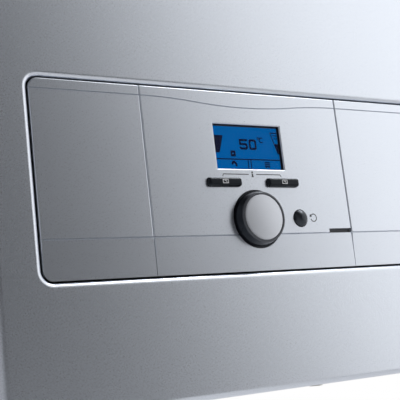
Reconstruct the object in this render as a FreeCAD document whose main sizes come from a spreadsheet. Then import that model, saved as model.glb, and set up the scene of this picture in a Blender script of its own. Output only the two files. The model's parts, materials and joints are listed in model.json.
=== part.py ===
# Wall-hung electric boiler: casing, control panel, water circuit and power section.
# Frame: X to the right of someone facing the boiler, Y into the wall, Z up, in millimetres.
# The origin is the middle of the wall bracket's row of screw holes, on the wall's surface.
import FreeCAD
import Part
import Sketcher

import math
import os
import re
from FreeCAD import Placement, Rotation, Vector

# Driving sizes
SIZES = {
    # Casing of folded sheet
    "casing_width": 410,
    "casing_height": 740,
    "casing_depth": 310,
    "sheet": 1.2,
    "panel_flange": 12,
    "side_flange": 14,
    "flange_gap": 1,
    # Front cover, a tray that slides onto tongues of the top panel and bottom plate
    "cover_depth": 60,
    "cover_gap": 1,
    "cover_play": 0.3,
    "cover_corner": 12,
    "cover_edge": 4,
    "tongue_width": 30,
    "tongue_reach": 25,
    "tongue_root": 20,
    "tongue_spacing": 260,
    "rim_depth": 9,
    "rim_bend": 3.4,
    "rim_wall": 2.4,
    "cover_screw_spacing": 140,
    "cover_screw_setback": 14,
    "cover_screw_radius": 2.5,
    "cover_screw_head_radius": 5,
    "cover_screw_head_height": 2.5,
    "cover_nut_height": 4,
    "notch_play": 0.5,
    # Wall bracket and the rear frame that hangs on it
    "bracket_drop": 100,
    "bracket_length": 300,
    "bracket_height": 44,
    "bracket_sheet": 2.5,
    "wall_offset": 13.5,
    "frame_sheet": 1.5,
    "hook_rise": 14,
    "hook_play": 0.5,
    "wall_screw_spacing": 240,
    "wall_hole_radius": 4.5,
    # Casing screws through the side panels into the rear frame
    "screw_radius": 2,
    "screw_play": 0.1,
    "screw_head_radius": 4,
    "screw_head_height": 2,
    "recess_length": 4.6,
    "recess_width": 1,
    "recess_depth": 1.2,
    "screw_point": 4,
    "casing_screw_margin": 60,
    # Control panel mouldings
    "fascia_side": 39,
    "fascia_height": 130,
    "fascia_base": 83,
    "fascia_thickness": 2.5,
    "fascia_recess": 0.8,
    "fascia_gap": 1,
    "fascia_corner": 7,
    "fascia_edge": 0.8,
    "centre_width": 172.5,
    "seam": 0.3,
    "groove_rise": 26,
    "groove_width": 0.5,
    "groove_depth": 1.6,
    "groove_bevel": 0.5,
    "strip_lean": 0.7,
    "sweep_rise": 123.2,
    "sweep_dip": 4.5,
    "sweep_span": 169,
    "sweep_width": 0.4,
    "sweep_depth": 1,
    "sweep_bevel": 0.4,
    "grip_width": 21.5,
    "grip_height": 2.9,
    # Display
    "display_width": 58.6,
    "display_height": 32.7,
    "display_rise": 89.5,
    "display_depth": 6,
    "display_lip": 0.9,
    "lens_thickness": 1.5,
    "lens_margin": 3,
    "lens_play": 0.3,
    # Soft keys and reset button
    "key_length": 28,
    "key_height": 6.2,
    "key_spacing": 51.2,
    "key_rise": 63.2,
    "key_stand": 3,
    "key_corner": 1.9,
    "key_round": 1.7,
    "key_play": 0.3,
    "key_lip": 1.5,
    "key_lip_thickness": 1.2,
    "key_seat": 0.2,
    "stem_radius": 1.5,
    "reset_offset": 38.4,
    "reset_radius": 6.3,
    "reset_stand": 3.8,
    "reset_dome": 5.4,
    "switch_width": 6.5,
    "switch_height": 3.5,
    "switch_pocket": 2,
    "stem_entry": 0.5,
    # Selector knob
    "knob_rise": 36.9,
    "knob_radius": 20.6,
    "knob_base_height": 2.6,
    "knob_step": 1,
    "knob_front_radius": 18,
    "knob_height": 10,
    "knob_round": 1.3,
    "knob_gap": 0.5,
    "knob_play": 0.5,
    "knob_socket": 7,
    "cap_radius": 16.4,
    "cap_thickness": 1,
    "cap_bevel": 0.4,
    "shaft_radius": 3,
    "shaft_play": 0.05,
    "shaft_end_gap": 0.3,
    "encoder_width": 13,
    "encoder_depth": 5,
    "bushing_radius": 4.5,
    "bushing_length": 2,
    "bushing_play": 0.4,
    # Control box behind the panel
    "box_inset": 12,
    "box_margin": 6,
    "box_depth": 62,
    "box_wall": 2.5,
    "board_thickness": 1.6,
    "board_width": 156,
    "board_margin": 16,
    "board_corner": 6,
    "post_radius": 3.5,
    "board_screw_radius": 1.4,
    "board_screw_head": 2.6,
    "board_screw_height": 1.6,
    "board_screw_length": 4,
    "main_board_width": 200,
    "main_board_height": 84,
    "main_post_length": 10,
    "box_bracket_sheet": 2,
    "box_bracket_foot": 22,
    "box_bracket_setback": 10,
    "box_bracket_root": 45,
    "box_bracket_gap": 6,
    # Pipes
    "pipe_radius": 11,
    "pipe_wall": 1.5,
    "pipe_gap": 4,
    "pipe_setback": 75,
    "pipe_drop": 45,
    "nipple_radius": 13.2,
    "nipple_length": 20,
    "joint_play": 0.1,
    "socket_depth": 12,
    "flow_offset": 60,
    "flow_bend": 20,
    "flow_drop": 30,
    "flow_outlet_drop": 30,
    "grommet_wall": 4,
    "grommet_height": 6,
    "grommet_play": 0.2,
    # Pump
    "pump_offset": 60,
    "pump_rise": 170,
    "volute_radius": 45,
    "volute_half": 25,
    "chamber_radius": 36,
    "chamber_floor": 6,
    "port_radius": 16,
    "port_length": 15,
    "side_port_radius": 9,
    "side_port_length": 8,
    "side_port_root": 5,
    "side_port_bore": 3,
    "motor_flange": 8,
    "motor_radius": 35,
    "motor_length": 60,
    "motor_box_width": 30,
    "motor_box_height": 16,
    "pump_shaft_radius": 4,
    "pump_shaft_depth": 40,
    "impeller_radius": 32,
    "impeller_disc": 3,
    "impeller_width": 16,
    "impeller_hub": 9,
    "impeller_gap": 3,
    "blade_thickness": 2.5,
    "blade_count": 6,
    "pump_bolt_radius": 2.2,
    "pump_bolt_circle": 40.5,
    "pump_bolt_head": 3.8,
    "pump_bolt_length": 10,
    # Tank, its shelf and insulation
    "riser_bend": 25,
    "riser_lead": 7,
    "shelf_sheet": 2.5,
    "shelf_half_width": 66,
    "shelf_apron": 56,
    "shelf_hole_play": 3,
    "tank_front_gap": 12.8,
    "tank_radius": 60,
    "tank_wall": 2.5,
    "insulation": 16,
    "insulation_play": 0.3,
    "insulation_gap": 2,
    "head_room": 118,
    "collar_radius": 74,
    "collar_thickness": 6,
    "gasket_thickness": 2,
    "flange_thickness": 8,
    "flange_bolt_circle": 67,
    "flange_bolt_radius": 3,
    "flange_bolt_head": 5.5,
    "flange_bolt_height": 4,
    "flange_bolt_count": 6,
    "flange_bolt_end": 3,
    # Heating elements, each a bar bent to a U
    "element_count": 3,
    "element_radius": 4.2,
    "element_circle": 33,
    "element_pitch": 24,
    "element_clearance": 30,
    "element_stand": 18,
    "terminal_radius": 7,
    "terminal_height": 9,
    "cutout_radius": 9,
    "cutout_height": 12,
    "cutout_tab": 6,
    # Automatic air vent on the flange
    "vent_radius": 13,
    "vent_height": 46,
    "vent_wall": 2.5,
    "vent_nipple": 8,
    "vent_hole": 1.5,
    "float_radius": 9.5,
    "float_height": 16,
    "float_seat": 0.3,
    "vent_spout_radius": 6,
    "vent_spout_height": 7,
    # Expansion vessel
    "vessel_radius": 125,
    "vessel_wall": 1.5,
    "vessel_rim": 6,
    "vessel_rim_thickness": 3,
    "vessel_round": 26,
    "vessel_gap": 6,
    "vessel_boss": 22,
    "vessel_clearance": 20,
    "vessel_tank_gap": 7,
    "membrane": 2,
    "vessel_pipe_radius": 5,
    "vessel_pipe_wall": 1,
    "vessel_pipe_bend": 12,
    "vessel_pipe_reach": 30,
    "vessel_pipe_fall": 50,
    "vessel_nipple_radius": 9,
    "vessel_nipple_length": 12,
    "vessel_nipple_root": 6,
    "vessel_nipple_offset": 30,
    # Safety valve
    "fitting_wall": 5,
    "fitting_half": 10,
    "branch_radius": 8,
    "valve_rise": 150,
    "valve_reach": 45,
    "valve_radius": 14,
    "valve_half": 18,
    "bonnet_radius": 12,
    "bonnet_length": 34,
    "valve_bore": 5.5,
    "outlet_radius": 7.5,
    "outlet_drop": 25,
    "outlet_hose_radius": 8.5,
    "outlet_hose_length": 14,
    "valve_knob_radius": 16,
    "valve_knob_length": 18,
    "flute_count": 8,
    "flute_radius": 3,
    "spindle_radius": 3,
    "spindle_play": 0.05,
    "spindle_length": 14,
    "knob_clearance": 0.3,
    # Drain valve
    "drain_rise": 55,
    "drain_reach": 46,
    "drain_radius": 8,
    "drain_nozzle_radius": 6,
    "drain_nozzle_bore": 4,
    "drain_nozzle_setback": 32,
    "drain_nozzle_drop": 28,
    "drain_knob_radius": 9,
    "drain_knob_length": 9,
    "drain_bar_width": 4,
    "drain_bar_height": 5,
    # Pressure sensor
    "sensor_radius": 9,
    "sensor_length": 20,
    "sensor_plug_width": 13,
    "sensor_plug_length": 14,
    # Power section
    "relay_stand": 24,
    "relay_plate_sheet": 2,
    "relay_plate_gap": 10,
    "relay_plate_rise": 6,
    "relay_plate_headroom": 112,
    "relay_plate_return": 20,
    "relay_post_length": 8,
    "relay_board_width": 150,
    "relay_board_height": 100,
    "relay_board_rise": 66,
    "relay_width": 22,
    "relay_height": 30,
    "relay_depth": 26,
    "relay_pitch": 46,
    "relay_row_pitch": 44,
    "terminal_block_width": 120,
    "terminal_block_height": 34,
    "terminal_block_depth": 30,
    "terminal_block_rise": 18,
    "terminal_count": 5,
    "terminal_entry": 4,
    "terminal_screw": 3,
    "terminal_screw_depth": 12,
    "lead_radius": 2,
    "lead_bend": 12,
    "lead_climb": 34,
    "lead_gap": 0.3,
    "lead_rise_pitch": 8,
    # Cable glands
    "gland_side": 37.8,
    "gland_pitch": 36,
    "gland_bore": 7,
    "gland_thread": 10,
    "gland_nut_radius": 14,
    "gland_nut_height": 5,
    "gland_head_height": 9,
    "gland_play": 0.1,
}

doc = FreeCAD.newDocument("electric_boiler")
dims = doc.addObject("Spreadsheet::Sheet", "dims")
for row, (alias, size) in enumerate(SIZES.items(), 1):
    dims.set(f"A{row}", alias)
    dims.set(f"B{row}", str(size))
    dims.setAlias(f"B{row}", alias)
doc.recompute()

# Planes and places that several pieces share, written as sums of driving sizes
TOP = "bracket_drop"
BOTTOM = "(bracket_drop - casing_height)"
OUTSIDE = "(casing_width/2)"
INSIDE = "(casing_width/2 - sheet)"
FRONT_EDGE = "(cover_depth + cover_gap - casing_depth)"
FRAME_FRONT = "(-wall_offset - frame_sheet)"
FLOOR = f"({BOTTOM} + sheet)"
COVER_SCREW_Y = f"({FRONT_EDGE} - cover_screw_setback)"
FASCIA_HALF = "(casing_width/2 - fascia_side)"
FASCIA_BOTTOM = f"({BOTTOM} + fascia_base)"
FASCIA_TOP = f"({FASCIA_BOTTOM} + fascia_height)"
FASCIA_FRONT = "(fascia_recess - casing_depth)"
FASCIA_BACK = f"({FASCIA_FRONT} + fascia_thickness)"
CENTRE_HALF = "(centre_width/2 - seam/2)"
GROOVE_Z = f"({FASCIA_BOTTOM} + groove_rise)"
DISPLAY_Z = f"({FASCIA_BOTTOM} + display_rise)"
KEY_Z = f"({FASCIA_BOTTOM} + key_rise)"
KNOB_Z = f"({FASCIA_BOTTOM} + knob_rise)"
KNOB_BACK = f"({FASCIA_BACK} - knob_gap)"
BOX_HALF = f"({FASCIA_HALF} - box_inset)"
BOX_BOTTOM = f"({FASCIA_BOTTOM} + box_margin)"
BOX_TOP = f"({FASCIA_TOP} - box_margin)"
BOX_BACK = f"({FASCIA_BACK} + box_depth)"
BOARD_FRONT = f"({FASCIA_BACK} + lens_thickness + display_depth)"
BOARD_BACK = f"({BOARD_FRONT} + board_thickness)"
SWITCH_FRONT = f"({BOARD_FRONT} - switch_height)"
PIPE_Y = "(-pipe_setback)"
PIPE_END = f"({BOTTOM} - pipe_drop)"
PIPE_BORE = "(pipe_radius - pipe_wall)"
SOCKET = "(pipe_radius + joint_play)"
PUMP_X = "pump_offset"
PUMP_Z = f"({BOTTOM} + pump_rise)"
PUMP_LOW = f"({PUMP_Z} - volute_radius - port_length)"
PUMP_HIGH = f"({PUMP_Z} + volute_radius + port_length)"
PUMP_FRONT = f"({PIPE_Y} - volute_half)"
CHAMBER_BACK = f"({PIPE_Y} + volute_half - chamber_floor)"
IMPELLER_BACK = f"({CHAMBER_BACK} - impeller_gap)"
RISER_Z = f"({PUMP_HIGH} + riser_bend + riser_lead)"
SHELF_Z = f"({RISER_Z} + riser_bend + riser_lead + shelf_sheet)"
JACKET = "(tank_radius + insulation)"
DROP_X = f"(-{INSIDE} + pipe_gap + pipe_radius)"
TANK_X = f"({DROP_X} + pipe_radius + insulation_gap + {JACKET})"
TANK_Y = f"(-casing_depth + sheet + tank_front_gap + {JACKET})"
ELBOW_INSIDE = "(flow_bend - pipe_radius)"
ELBOW_DIP = f"({ELBOW_INSIDE} - sqrt({ELBOW_INSIDE}^2 - ({ELBOW_INSIDE} - insulation_gap)^2))"
TANK_TOP = f"({TOP} - head_room)"
FLANGE_LOW = f"({TANK_TOP} + gasket_thickness)"
FLANGE_HIGH = f"({FLANGE_LOW} + flange_thickness)"
FLOW_X = "(-flow_offset)"
FLOW_Z = f"({RISER_Z} - flow_drop)"
OUTLET_Z = f"({TANK_TOP} - flow_outlet_drop)"
VESSEL_FRONT = f"({TANK_Y} + {JACKET} + vessel_tank_gap)"
VESSEL_BACK = f"({FRAME_FRONT} - vessel_gap)"
VESSEL_MIDDLE = f"(({VESSEL_FRONT} + {VESSEL_BACK})/2)"
VESSEL_SHELL = f"(({VESSEL_BACK} - {VESSEL_FRONT} - membrane)/2)"
VESSEL_EDGE = "(vessel_radius + vessel_rim)"
VESSEL_Z = f"({SHELF_Z} + vessel_clearance + {VESSEL_EDGE})"
VESSEL_PIPE_X = f"({PUMP_X} - volute_radius - vessel_pipe_reach)"
VESSEL_PIPE_Y = f"({VESSEL_MIDDLE} - vessel_nipple_offset)"
VALVE_X = f"({FLOW_X} - valve_reach)"
VALVE_Z = f"({BOTTOM} + valve_rise)"
BONNET_FRONT = f"({PIPE_Y} - bonnet_length)"
DRAIN_Z = f"({BOTTOM} + drain_rise)"
DRAIN_FRONT = f"({PIPE_Y} - drain_reach)"
RELAY_BACK = f"({VESSEL_FRONT} - relay_stand)"
RELAY_FRONT = f"({RELAY_BACK} - relay_plate_sheet)"
RELAY_LEFT = f"({TANK_X} + {JACKET} + relay_plate_gap)"
RELAY_MIDDLE = f"(({RELAY_LEFT} + {INSIDE})/2)"
RELAY_BOARD_BACK = f"({RELAY_FRONT} - relay_post_length)"
RELAY_BOARD_FRONT = f"({RELAY_BOARD_BACK} - board_thickness)"
RELAY_BOARD_LOW = f"({SHELF_Z} + relay_board_rise)"
RELAY_BOARD_HIGH = f"({RELAY_BOARD_LOW} + relay_board_height)"

SIDES = (("left", -1), ("right", 1))
TURN = {"x": Rotation(Vector(0, 1, 0), 90), "y": Rotation(Vector(1, 0, 0), -90), "z": Rotation()}
TO_FRONT = Rotation(Vector(1, 0, 0), 90)
TO_BACK = Rotation(Vector(1, 0, 0), -90)
SMALL = 1e-4
OVERRUN = 1
nodes = []


# Helpers that bind shapes to the sheet

def bound(text):
    """The text of a size with each sheet name written as an expression reads it."""
    return re.sub(r"[a-z]\w*", lambda word: f"dims.{word[0]}" if word[0] in SIZES else word[0], text)


def bind(item, prop, text):
    """Ties one property of an object to the sheet."""
    item.setExpression(prop, bound(text))


def number(text):
    """The present value of a size or of a sum of sizes."""
    return float(dims.evalExpression(bound(text)))


def place(item, x="0", y="0", z="0", turn=Rotation()):
    """Turns an object and ties its place to the sheet."""
    item.Placement = Placement(Vector(), turn)
    for axis, text in zip("xyz", (x, y, z)):
        bind(item, f"Placement.Base.{axis}", text)
    return item


def node(item, label):
    """Names a finished sub-part and lists it for writing."""
    item.Label = label
    nodes.append(item)
    return item


def span(middle, width):
    """The two ends of a width about a middle."""
    return f"{middle} - ({width})/2", f"{middle} + ({width})/2"


def sided(sign, low, high):
    """A span on the right, or its mirror image on the left."""
    return (low, high) if sign > 0 else (f"-({high})", f"-({low})")


def box(name, x, y, z):
    """A block between two ends on each axis."""
    item = doc.addObject("Part::Box", name)
    for prop, (low, high) in zip(("Length", "Width", "Height"), (x, y, z)):
        bind(item, prop, f"({high}) - ({low})")
    return place(item, x[0], y[0], z[0])


def rod(name, axis, centre, ends, radius):
    """A round bar along an axis, with its centre on the other two axes and its two ends."""
    item = doc.addObject("Part::Cylinder", name)
    bind(item, "Radius", radius)
    bind(item, "Height", f"({ends[1]}) - ({ends[0]})")
    spot = list(centre)
    spot.insert("xyz".index(axis), ends[0])
    return place(item, *spot, turn=TURN[axis])


def fuse(name, *items):
    """Joins shapes into one."""
    item = doc.addObject("Part::MultiFuse", name)
    item.Shapes = list(items)
    item.Refine = True
    return item


def cut(name, base, *tools):
    """Takes shapes away from a base."""
    item = doc.addObject("Part::Cut", name)
    item.Base = base
    item.Tool = tools[0] if len(tools) == 1 else fuse(f"{name}_cutters", *tools)
    return item


def group(name, items):
    """Several like solids that share one node."""
    item = doc.addObject("Part::Compound", name)
    item.Links = list(items)
    return item


def outline_body(name, plane, outline):
    """A body and its sketch: a closed outline of straight sides, each corner tied to the sheet."""
    body = doc.addObject("PartDesign::Body", name)
    sketch = body.newObject("Sketcher::SketchObject", f"{name}_outline")
    support = next(item for item in body.Origin.OriginFeatures if item.Role == plane)
    sketch.AttachmentSupport = [(support, "")]
    sketch.MapMode = "FlatFace"
    corners = [Vector(number(across), number(up), 0) for across, up in outline]
    for start, end in zip(corners, corners[1:] + corners[:1]):
        sketch.addGeometry(Part.LineSegment(start, end))
    for index, (across, up) in enumerate(outline):
        sketch.addConstraint(Sketcher.Constraint("Coincident", (index - 1) % len(outline), 2, index, 1))
        for kind, text, line in (("DistanceX", across, -2), ("DistanceY", up, -1)):
            if text == "0":
                sketch.addConstraint(Sketcher.Constraint("PointOnObject", index, 1, line))
            else:
                place_of = Sketcher.Constraint(kind, -1, 1, index, 1, number(text))
                bind(sketch, f"Constraints[{sketch.addConstraint(place_of)}]", text)
    return body, sketch


def padded(name, plane, outline, length):
    """A body with an outline drawn out along its plane's normal."""
    body, sketch = outline_body(name, plane, outline)
    feature = body.newObject("PartDesign::Pad", f"{name}_pad")
    feature.Profile = sketch
    bind(feature, "Length", length)
    return body


def block(name, x, y, z):
    """A body like a box, whose edges can be rounded."""
    corners = [(x[0], y[0]), (x[1], y[0]), (x[1], y[1]), (x[0], y[1])]
    return place(padded(name, "XY_Plane", corners, f"({z[1]}) - ({z[0]})"), z=z[0])


def turned(name, outline):
    """A body of revolution about its own Z from an outline of radius and height."""
    body, sketch = outline_body(name, "XZ_Plane", outline)
    feature = body.newObject("PartDesign::Revolution", f"{name}_turn")
    feature.Profile = sketch
    feature.ReferenceAxis = (sketch, ["V_Axis"])
    feature.Angle = 360
    return body


def chosen_edges(shape, chosen):
    """The numbers of the edges that a test picks, from one."""
    return [index for index, edge in enumerate(shape.Edges, 1) if chosen(edge)]


def round_body(body, radius, chosen):
    """Rounds chosen edges of a body."""
    doc.recompute()
    base = body.Tip
    feature = body.newObject("PartDesign::Fillet", f"{body.Name}_round")
    feature.Base = (base, [f"Edge{index}" for index in chosen_edges(base.Shape, chosen)])
    bind(feature, "Radius", radius)
    return body


def edged_part(kind, name, base, width, chosen):
    """Takes chosen edges off a joined or cut shape."""
    doc.recompute()
    size = number(width)
    item = doc.addObject(kind, name)
    item.Base = base
    item.Edges = [(index, size, size) for index in chosen_edges(base.Shape, chosen)]
    return item


def round_part(name, base, radius, chosen):
    """Rounds chosen edges of a joined or cut shape."""
    return edged_part("Part::Fillet", name, base, radius, chosen)


def bevel_part(name, base, width, chosen):
    """Bevels chosen edges of a joined or cut shape."""
    return edged_part("Part::Chamfer", name, base, width, chosen)


def level(edge, axis, height):
    """Whether an edge lies in a plane across an axis."""
    bounds = edge.BoundBox
    low, high = (getattr(bounds, f"{axis.upper()}{end}") for end in ("Min", "Max"))
    return abs(low - height) < SMALL and abs(high - height) < SMALL


def along(edge, axis):
    """Whether an edge is straight and parallel to an axis."""
    lengths = {name: getattr(edge.BoundBox, f"{name.upper()}Length") for name in "xyz"}
    return all(size < SMALL for name, size in lengths.items() if name != axis)


def ring_of(edge, radius, height):
    """Whether an edge is a circle of a radius at a height on a turned body."""
    return level(edge, "z", number(height)) and abs(edge.BoundBox.XLength / 2 - number(radius)) < SMALL


def bar(name, route, radius, bend):
    """A round bar along straight runs joined by tangent arcs."""
    points = [Vector(*(number(text) for text in point)) for point in route]
    turn = number(bend)
    edges = []
    start = points[0]
    for before, corner, after in zip(points, points[1:], points[2:]):
        arriving = (corner - before).normalize()
        leaving = (after - corner).normalize()
        half = arriving.getAngle(leaving) / 2
        first = corner - arriving * (turn * math.tan(half))
        last = corner + leaving * (turn * math.tan(half))
        middle = corner + (leaving - arriving).normalize() * (turn / math.cos(half) - turn)
        edges.append(Part.LineSegment(start, first).toShape())
        edges.append(Part.Arc(first, middle, last).toShape())
        start = last
    edges.append(Part.LineSegment(start, points[-1]).toShape())
    section = Part.Wire(Part.makeCircle(number(radius), points[0], points[1] - points[0]))
    item = doc.addObject("Part::Feature", name)
    item.Shape = Part.Wire(edges).makePipeShell([section], True, False)
    return item


def key_plate(name, x, margin, y):
    """A key's outline grown by a margin, with rounded corners, across Y."""
    plate = block(name, span(x, f"key_length + 2*({margin})"), y, span(KEY_Z, f"key_height + 2*({margin})"))
    return round_body(plate, f"key_corner + {margin}", lambda edge: along(edge, "y"))


# Casing

def wall_bracket():
    """A strip screwed to the wall, with a ledge and an upturned lip for the rear frame."""
    x = span("0", "bracket_length")
    hook_front = f"({FRAME_FRONT} - hook_play - bracket_sheet)"
    ledge_low = "bracket_height/2 - bracket_sheet"
    strip = box("bracket_strip", x, ("-bracket_sheet", "0"), span("0", "bracket_height"))
    ledge = box("bracket_ledge", x, (hook_front, "0"), (ledge_low, "bracket_height/2"))
    lip = box("bracket_lip", x, (hook_front, f"{hook_front} + bracket_sheet"),
              (ledge_low, "bracket_height/2 + hook_rise"))
    holes = [rod(f"bracket_hole_{side}", "y", (f"{sign}*wall_screw_spacing/2", "0"),
                 (f"-bracket_sheet - {OVERRUN}", f"{OVERRUN}"), "wall_hole_radius") for side, sign in SIDES]
    node(cut("wall_bracket", fuse("bracket_blank", strip, ledge, lip), *holes), "wall_bracket")


def casing_screw_heights():
    """Three screws up each side of the casing."""
    return [f"{BOTTOM} + casing_screw_margin + {step}*(casing_height - 2*casing_screw_margin)/2"
            for step in range(3)]


def casing_screw_holes(name, sign):
    """Cutters for the screws of one side."""
    ends = sided(sign, f"{INSIDE} - frame_sheet - {OVERRUN}", f"{OUTSIDE} + {OVERRUN}")
    return [rod(f"{name}_screw_hole_{step}", "x", ("-wall_offset/2", height), ends,
                "screw_radius + screw_play")
            for step, height in enumerate(casing_screw_heights())]


def rear_frame():
    """The back panel, held off the wall by two flanges, with the slot that hangs on the bracket."""
    z = (FLOOR, f"{TOP} - sheet")
    panel = box("frame_panel", sided(1, f"-{INSIDE}", INSIDE), (FRAME_FRONT, "-wall_offset"), z)
    flanges = [box(f"frame_flange_{side}", sided(sign, f"{INSIDE} - frame_sheet", INSIDE),
                   ("-wall_offset", "0"), z) for side, sign in SIDES]
    slot_low = "bracket_height/2 - bracket_sheet - hook_rise - hook_play"
    slot = box("frame_slot", span("0", "bracket_length + 2*hook_play"),
               (f"{FRAME_FRONT} - {OVERRUN}", f"-wall_offset + {OVERRUN}"), (slot_low, "bracket_height/2"))
    holes = [hole for side, sign in SIDES for hole in casing_screw_holes(f"frame_{side}", sign)]
    node(cut("rear_frame", fuse("frame_blank", panel, *flanges), slot, *holes), "rear_frame")


def side_panels():
    """Two flat sides with a front flange each."""
    low = f"{BOTTOM} + panel_flange + flange_gap"
    high = f"{TOP} - panel_flange - flange_gap"
    for side, sign in SIDES:
        wall = box(f"{side}_wall", sided(sign, INSIDE, OUTSIDE), (FRONT_EDGE, "0"), (BOTTOM, TOP))
        flange = box(f"{side}_flange", sided(sign, f"{OUTSIDE} - side_flange", OUTSIDE),
                     (FRONT_EDGE, f"{FRONT_EDGE} + sheet"), (low, high))
        blank = fuse(f"{side}_panel_blank", wall, flange)
        node(cut(f"{side}_panel", blank, *casing_screw_holes(side, sign)), f"{side}_side_panel")


def tongue(name, x, low, high, root_low, root_high):
    """A tongue that reaches forward into the cover, and its root on the panel."""
    reach = box(f"{name}_reach", span(x, "tongue_width"),
                (f"{FRONT_EDGE} - tongue_reach", f"{FRONT_EDGE} + tongue_root"), (low, high))
    root = box(f"{name}_root", span(x, "tongue_width"), (FRONT_EDGE, f"{FRONT_EDGE} + tongue_root"),
               (root_low, root_high))
    return reach, root


def top_panel():
    """The top sheet, its front flange and two tongues that carry the cover."""
    x = (f"-{INSIDE}", INSIDE)
    plate = box("top_plate", x, (FRONT_EDGE, "0"), (f"{TOP} - sheet", TOP))
    flange = box("top_flange", x, (FRONT_EDGE, f"{FRONT_EDGE} + sheet"), (f"{TOP} - panel_flange", TOP))
    tongues = [piece for side, sign in SIDES for piece in tongue(
        f"top_tongue_{side}", f"{sign}*tongue_spacing/2", f"{TOP} - 2*sheet - cover_play",
        f"{TOP} - sheet - cover_play", f"{TOP} - 2*sheet - cover_play", TOP)]
    node(fuse("top_panel", plate, flange, *tongues), "top_panel")


def bottom_plate():
    """The floor of the casing, with pipe and cable holes and slotted tongues for the cover screws."""
    x = (f"-{INSIDE}", INSIDE)
    plate = box("bottom_sheet", x, (FRONT_EDGE, "0"), (BOTTOM, FLOOR))
    flange = box("bottom_flange", x, (FRONT_EDGE, f"{FRONT_EDGE} + sheet"),
                 (BOTTOM, f"{BOTTOM} + panel_flange"))
    tongue_low = f"{FLOOR} + cover_play"
    tongue_high = f"{FLOOR} + cover_play + sheet"
    solids = [plate, flange]
    cutters = []
    for side, sign in SIDES:
        screw_x = f"{sign}*cover_screw_spacing/2"
        solids += tongue(f"bottom_tongue_{side}", screw_x, tongue_low, tongue_high, BOTTOM, tongue_high)
        cutters.append(box(f"bottom_notch_{side}", span(screw_x, "2*(cover_screw_radius + notch_play)"),
                           (f"{FRONT_EDGE} - tongue_reach - {OVERRUN}",
                            f"{COVER_SCREW_Y} + cover_screw_radius + notch_play"),
                           (tongue_low, f"{tongue_high} + {OVERRUN}")))
    ends = (f"{BOTTOM} - {OVERRUN}", f"{FLOOR} + {OVERRUN}")
    for name, pipe_x, radius in pipe_holes():
        cutters.append(rod(f"bottom_hole_{name}", "z", (pipe_x, PIPE_Y), ends, f"{radius} + grommet_wall"))
    for step in range(2):
        cutters.append(rod(f"bottom_hole_gland_{step}", "z", (gland_x(step), PIPE_Y), ends,
                           "gland_thread + gland_play"))
    node(cut("bottom_plate", fuse("bottom_blank", *solids), *cutters), "bottom_plate")


def cover_tray(name, inset, rear):
    """The solid of the cover's outside, or of its hollow at an inset, with rounded edges."""
    x = (f"-{OUTSIDE} + {inset}", f"{OUTSIDE} - {inset}")
    y = (f"-casing_depth + {inset}", rear)
    tray = block(name, x, y, (f"{BOTTOM} + {inset}", f"{TOP} - {inset}"))
    front = number(y[0])
    back = number(y[1])
    round_body(tray, f"cover_corner - {inset}", lambda edge: along(edge, "z") and level(edge, "y", front))
    height = number(f"casing_height - 2*{inset}")
    return round_body(tray, f"cover_edge - {inset}", lambda edge: not level(edge, "y", back)
                      and (level(edge, "z", 0) or level(edge, "z", height)))


def window_block(name, margin, y):
    """The panel's outline grown by a margin, with rounded corners."""
    solid = block(name, (f"-{FASCIA_HALF} - ({margin})", f"{FASCIA_HALF} + {margin}"), y,
                  (f"{FASCIA_BOTTOM} - ({margin})", f"{FASCIA_TOP} + {margin}"))
    return round_body(solid, f"fascia_corner + {margin}", lambda edge: along(edge, "y"))


def front_cover():
    """A deep tray with a window whose edge is rolled inward round the control panel."""
    rear = "cover_depth - casing_depth"
    outer = cover_tray("cover_outside", "0", rear)
    hollow = cover_tray("cover_hollow", "sheet", f"{rear} + {OVERRUN}")
    rim_back = "rim_depth - casing_depth"
    rim = window_block("cover_rim", "fascia_gap + rim_wall", ("sheet/2 - casing_depth", rim_back))
    window = window_block("cover_window", "fascia_gap",
                          (f"-casing_depth - {OVERRUN}", f"{rim_back} + {OVERRUN}"))
    shell = cut("cover_shell", outer, hollow)
    holes = [rod(f"cover_screw_hole_{side}", "z", (f"{sign}*cover_screw_spacing/2", COVER_SCREW_Y),
                 (f"{BOTTOM} - {OVERRUN}", f"{FLOOR} + {OVERRUN}"), "cover_screw_radius + screw_play")
             for side, sign in SIDES]
    blank = cut("cover_blank", fuse("cover_with_rim", shell, rim), window, *holes)
    front = number("-casing_depth")
    reach = number(f"{FASCIA_HALF} + fascia_gap") + SMALL
    node(round_part("front_cover", blank, "rim_bend", lambda edge: level(edge, "y", front)
                    and max(abs(edge.BoundBox.XMin), abs(edge.BoundBox.XMax)) < reach), "front_cover")


def cross_recess(name, axis, spot, depth):
    """The crossed slots that a screwdriver fits, as cutters for a screw's head."""
    slots = []
    for turn, sides in enumerate((("recess_length", "recess_width"), ("recess_width", "recess_length"))):
        spans = [span(middle, side) for middle, side in zip(spot, sides)]
        spans.insert("xyz".index(axis), depth)
        slots.append(box(f"{name}_recess_{turn}", *spans))
    return slots


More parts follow.
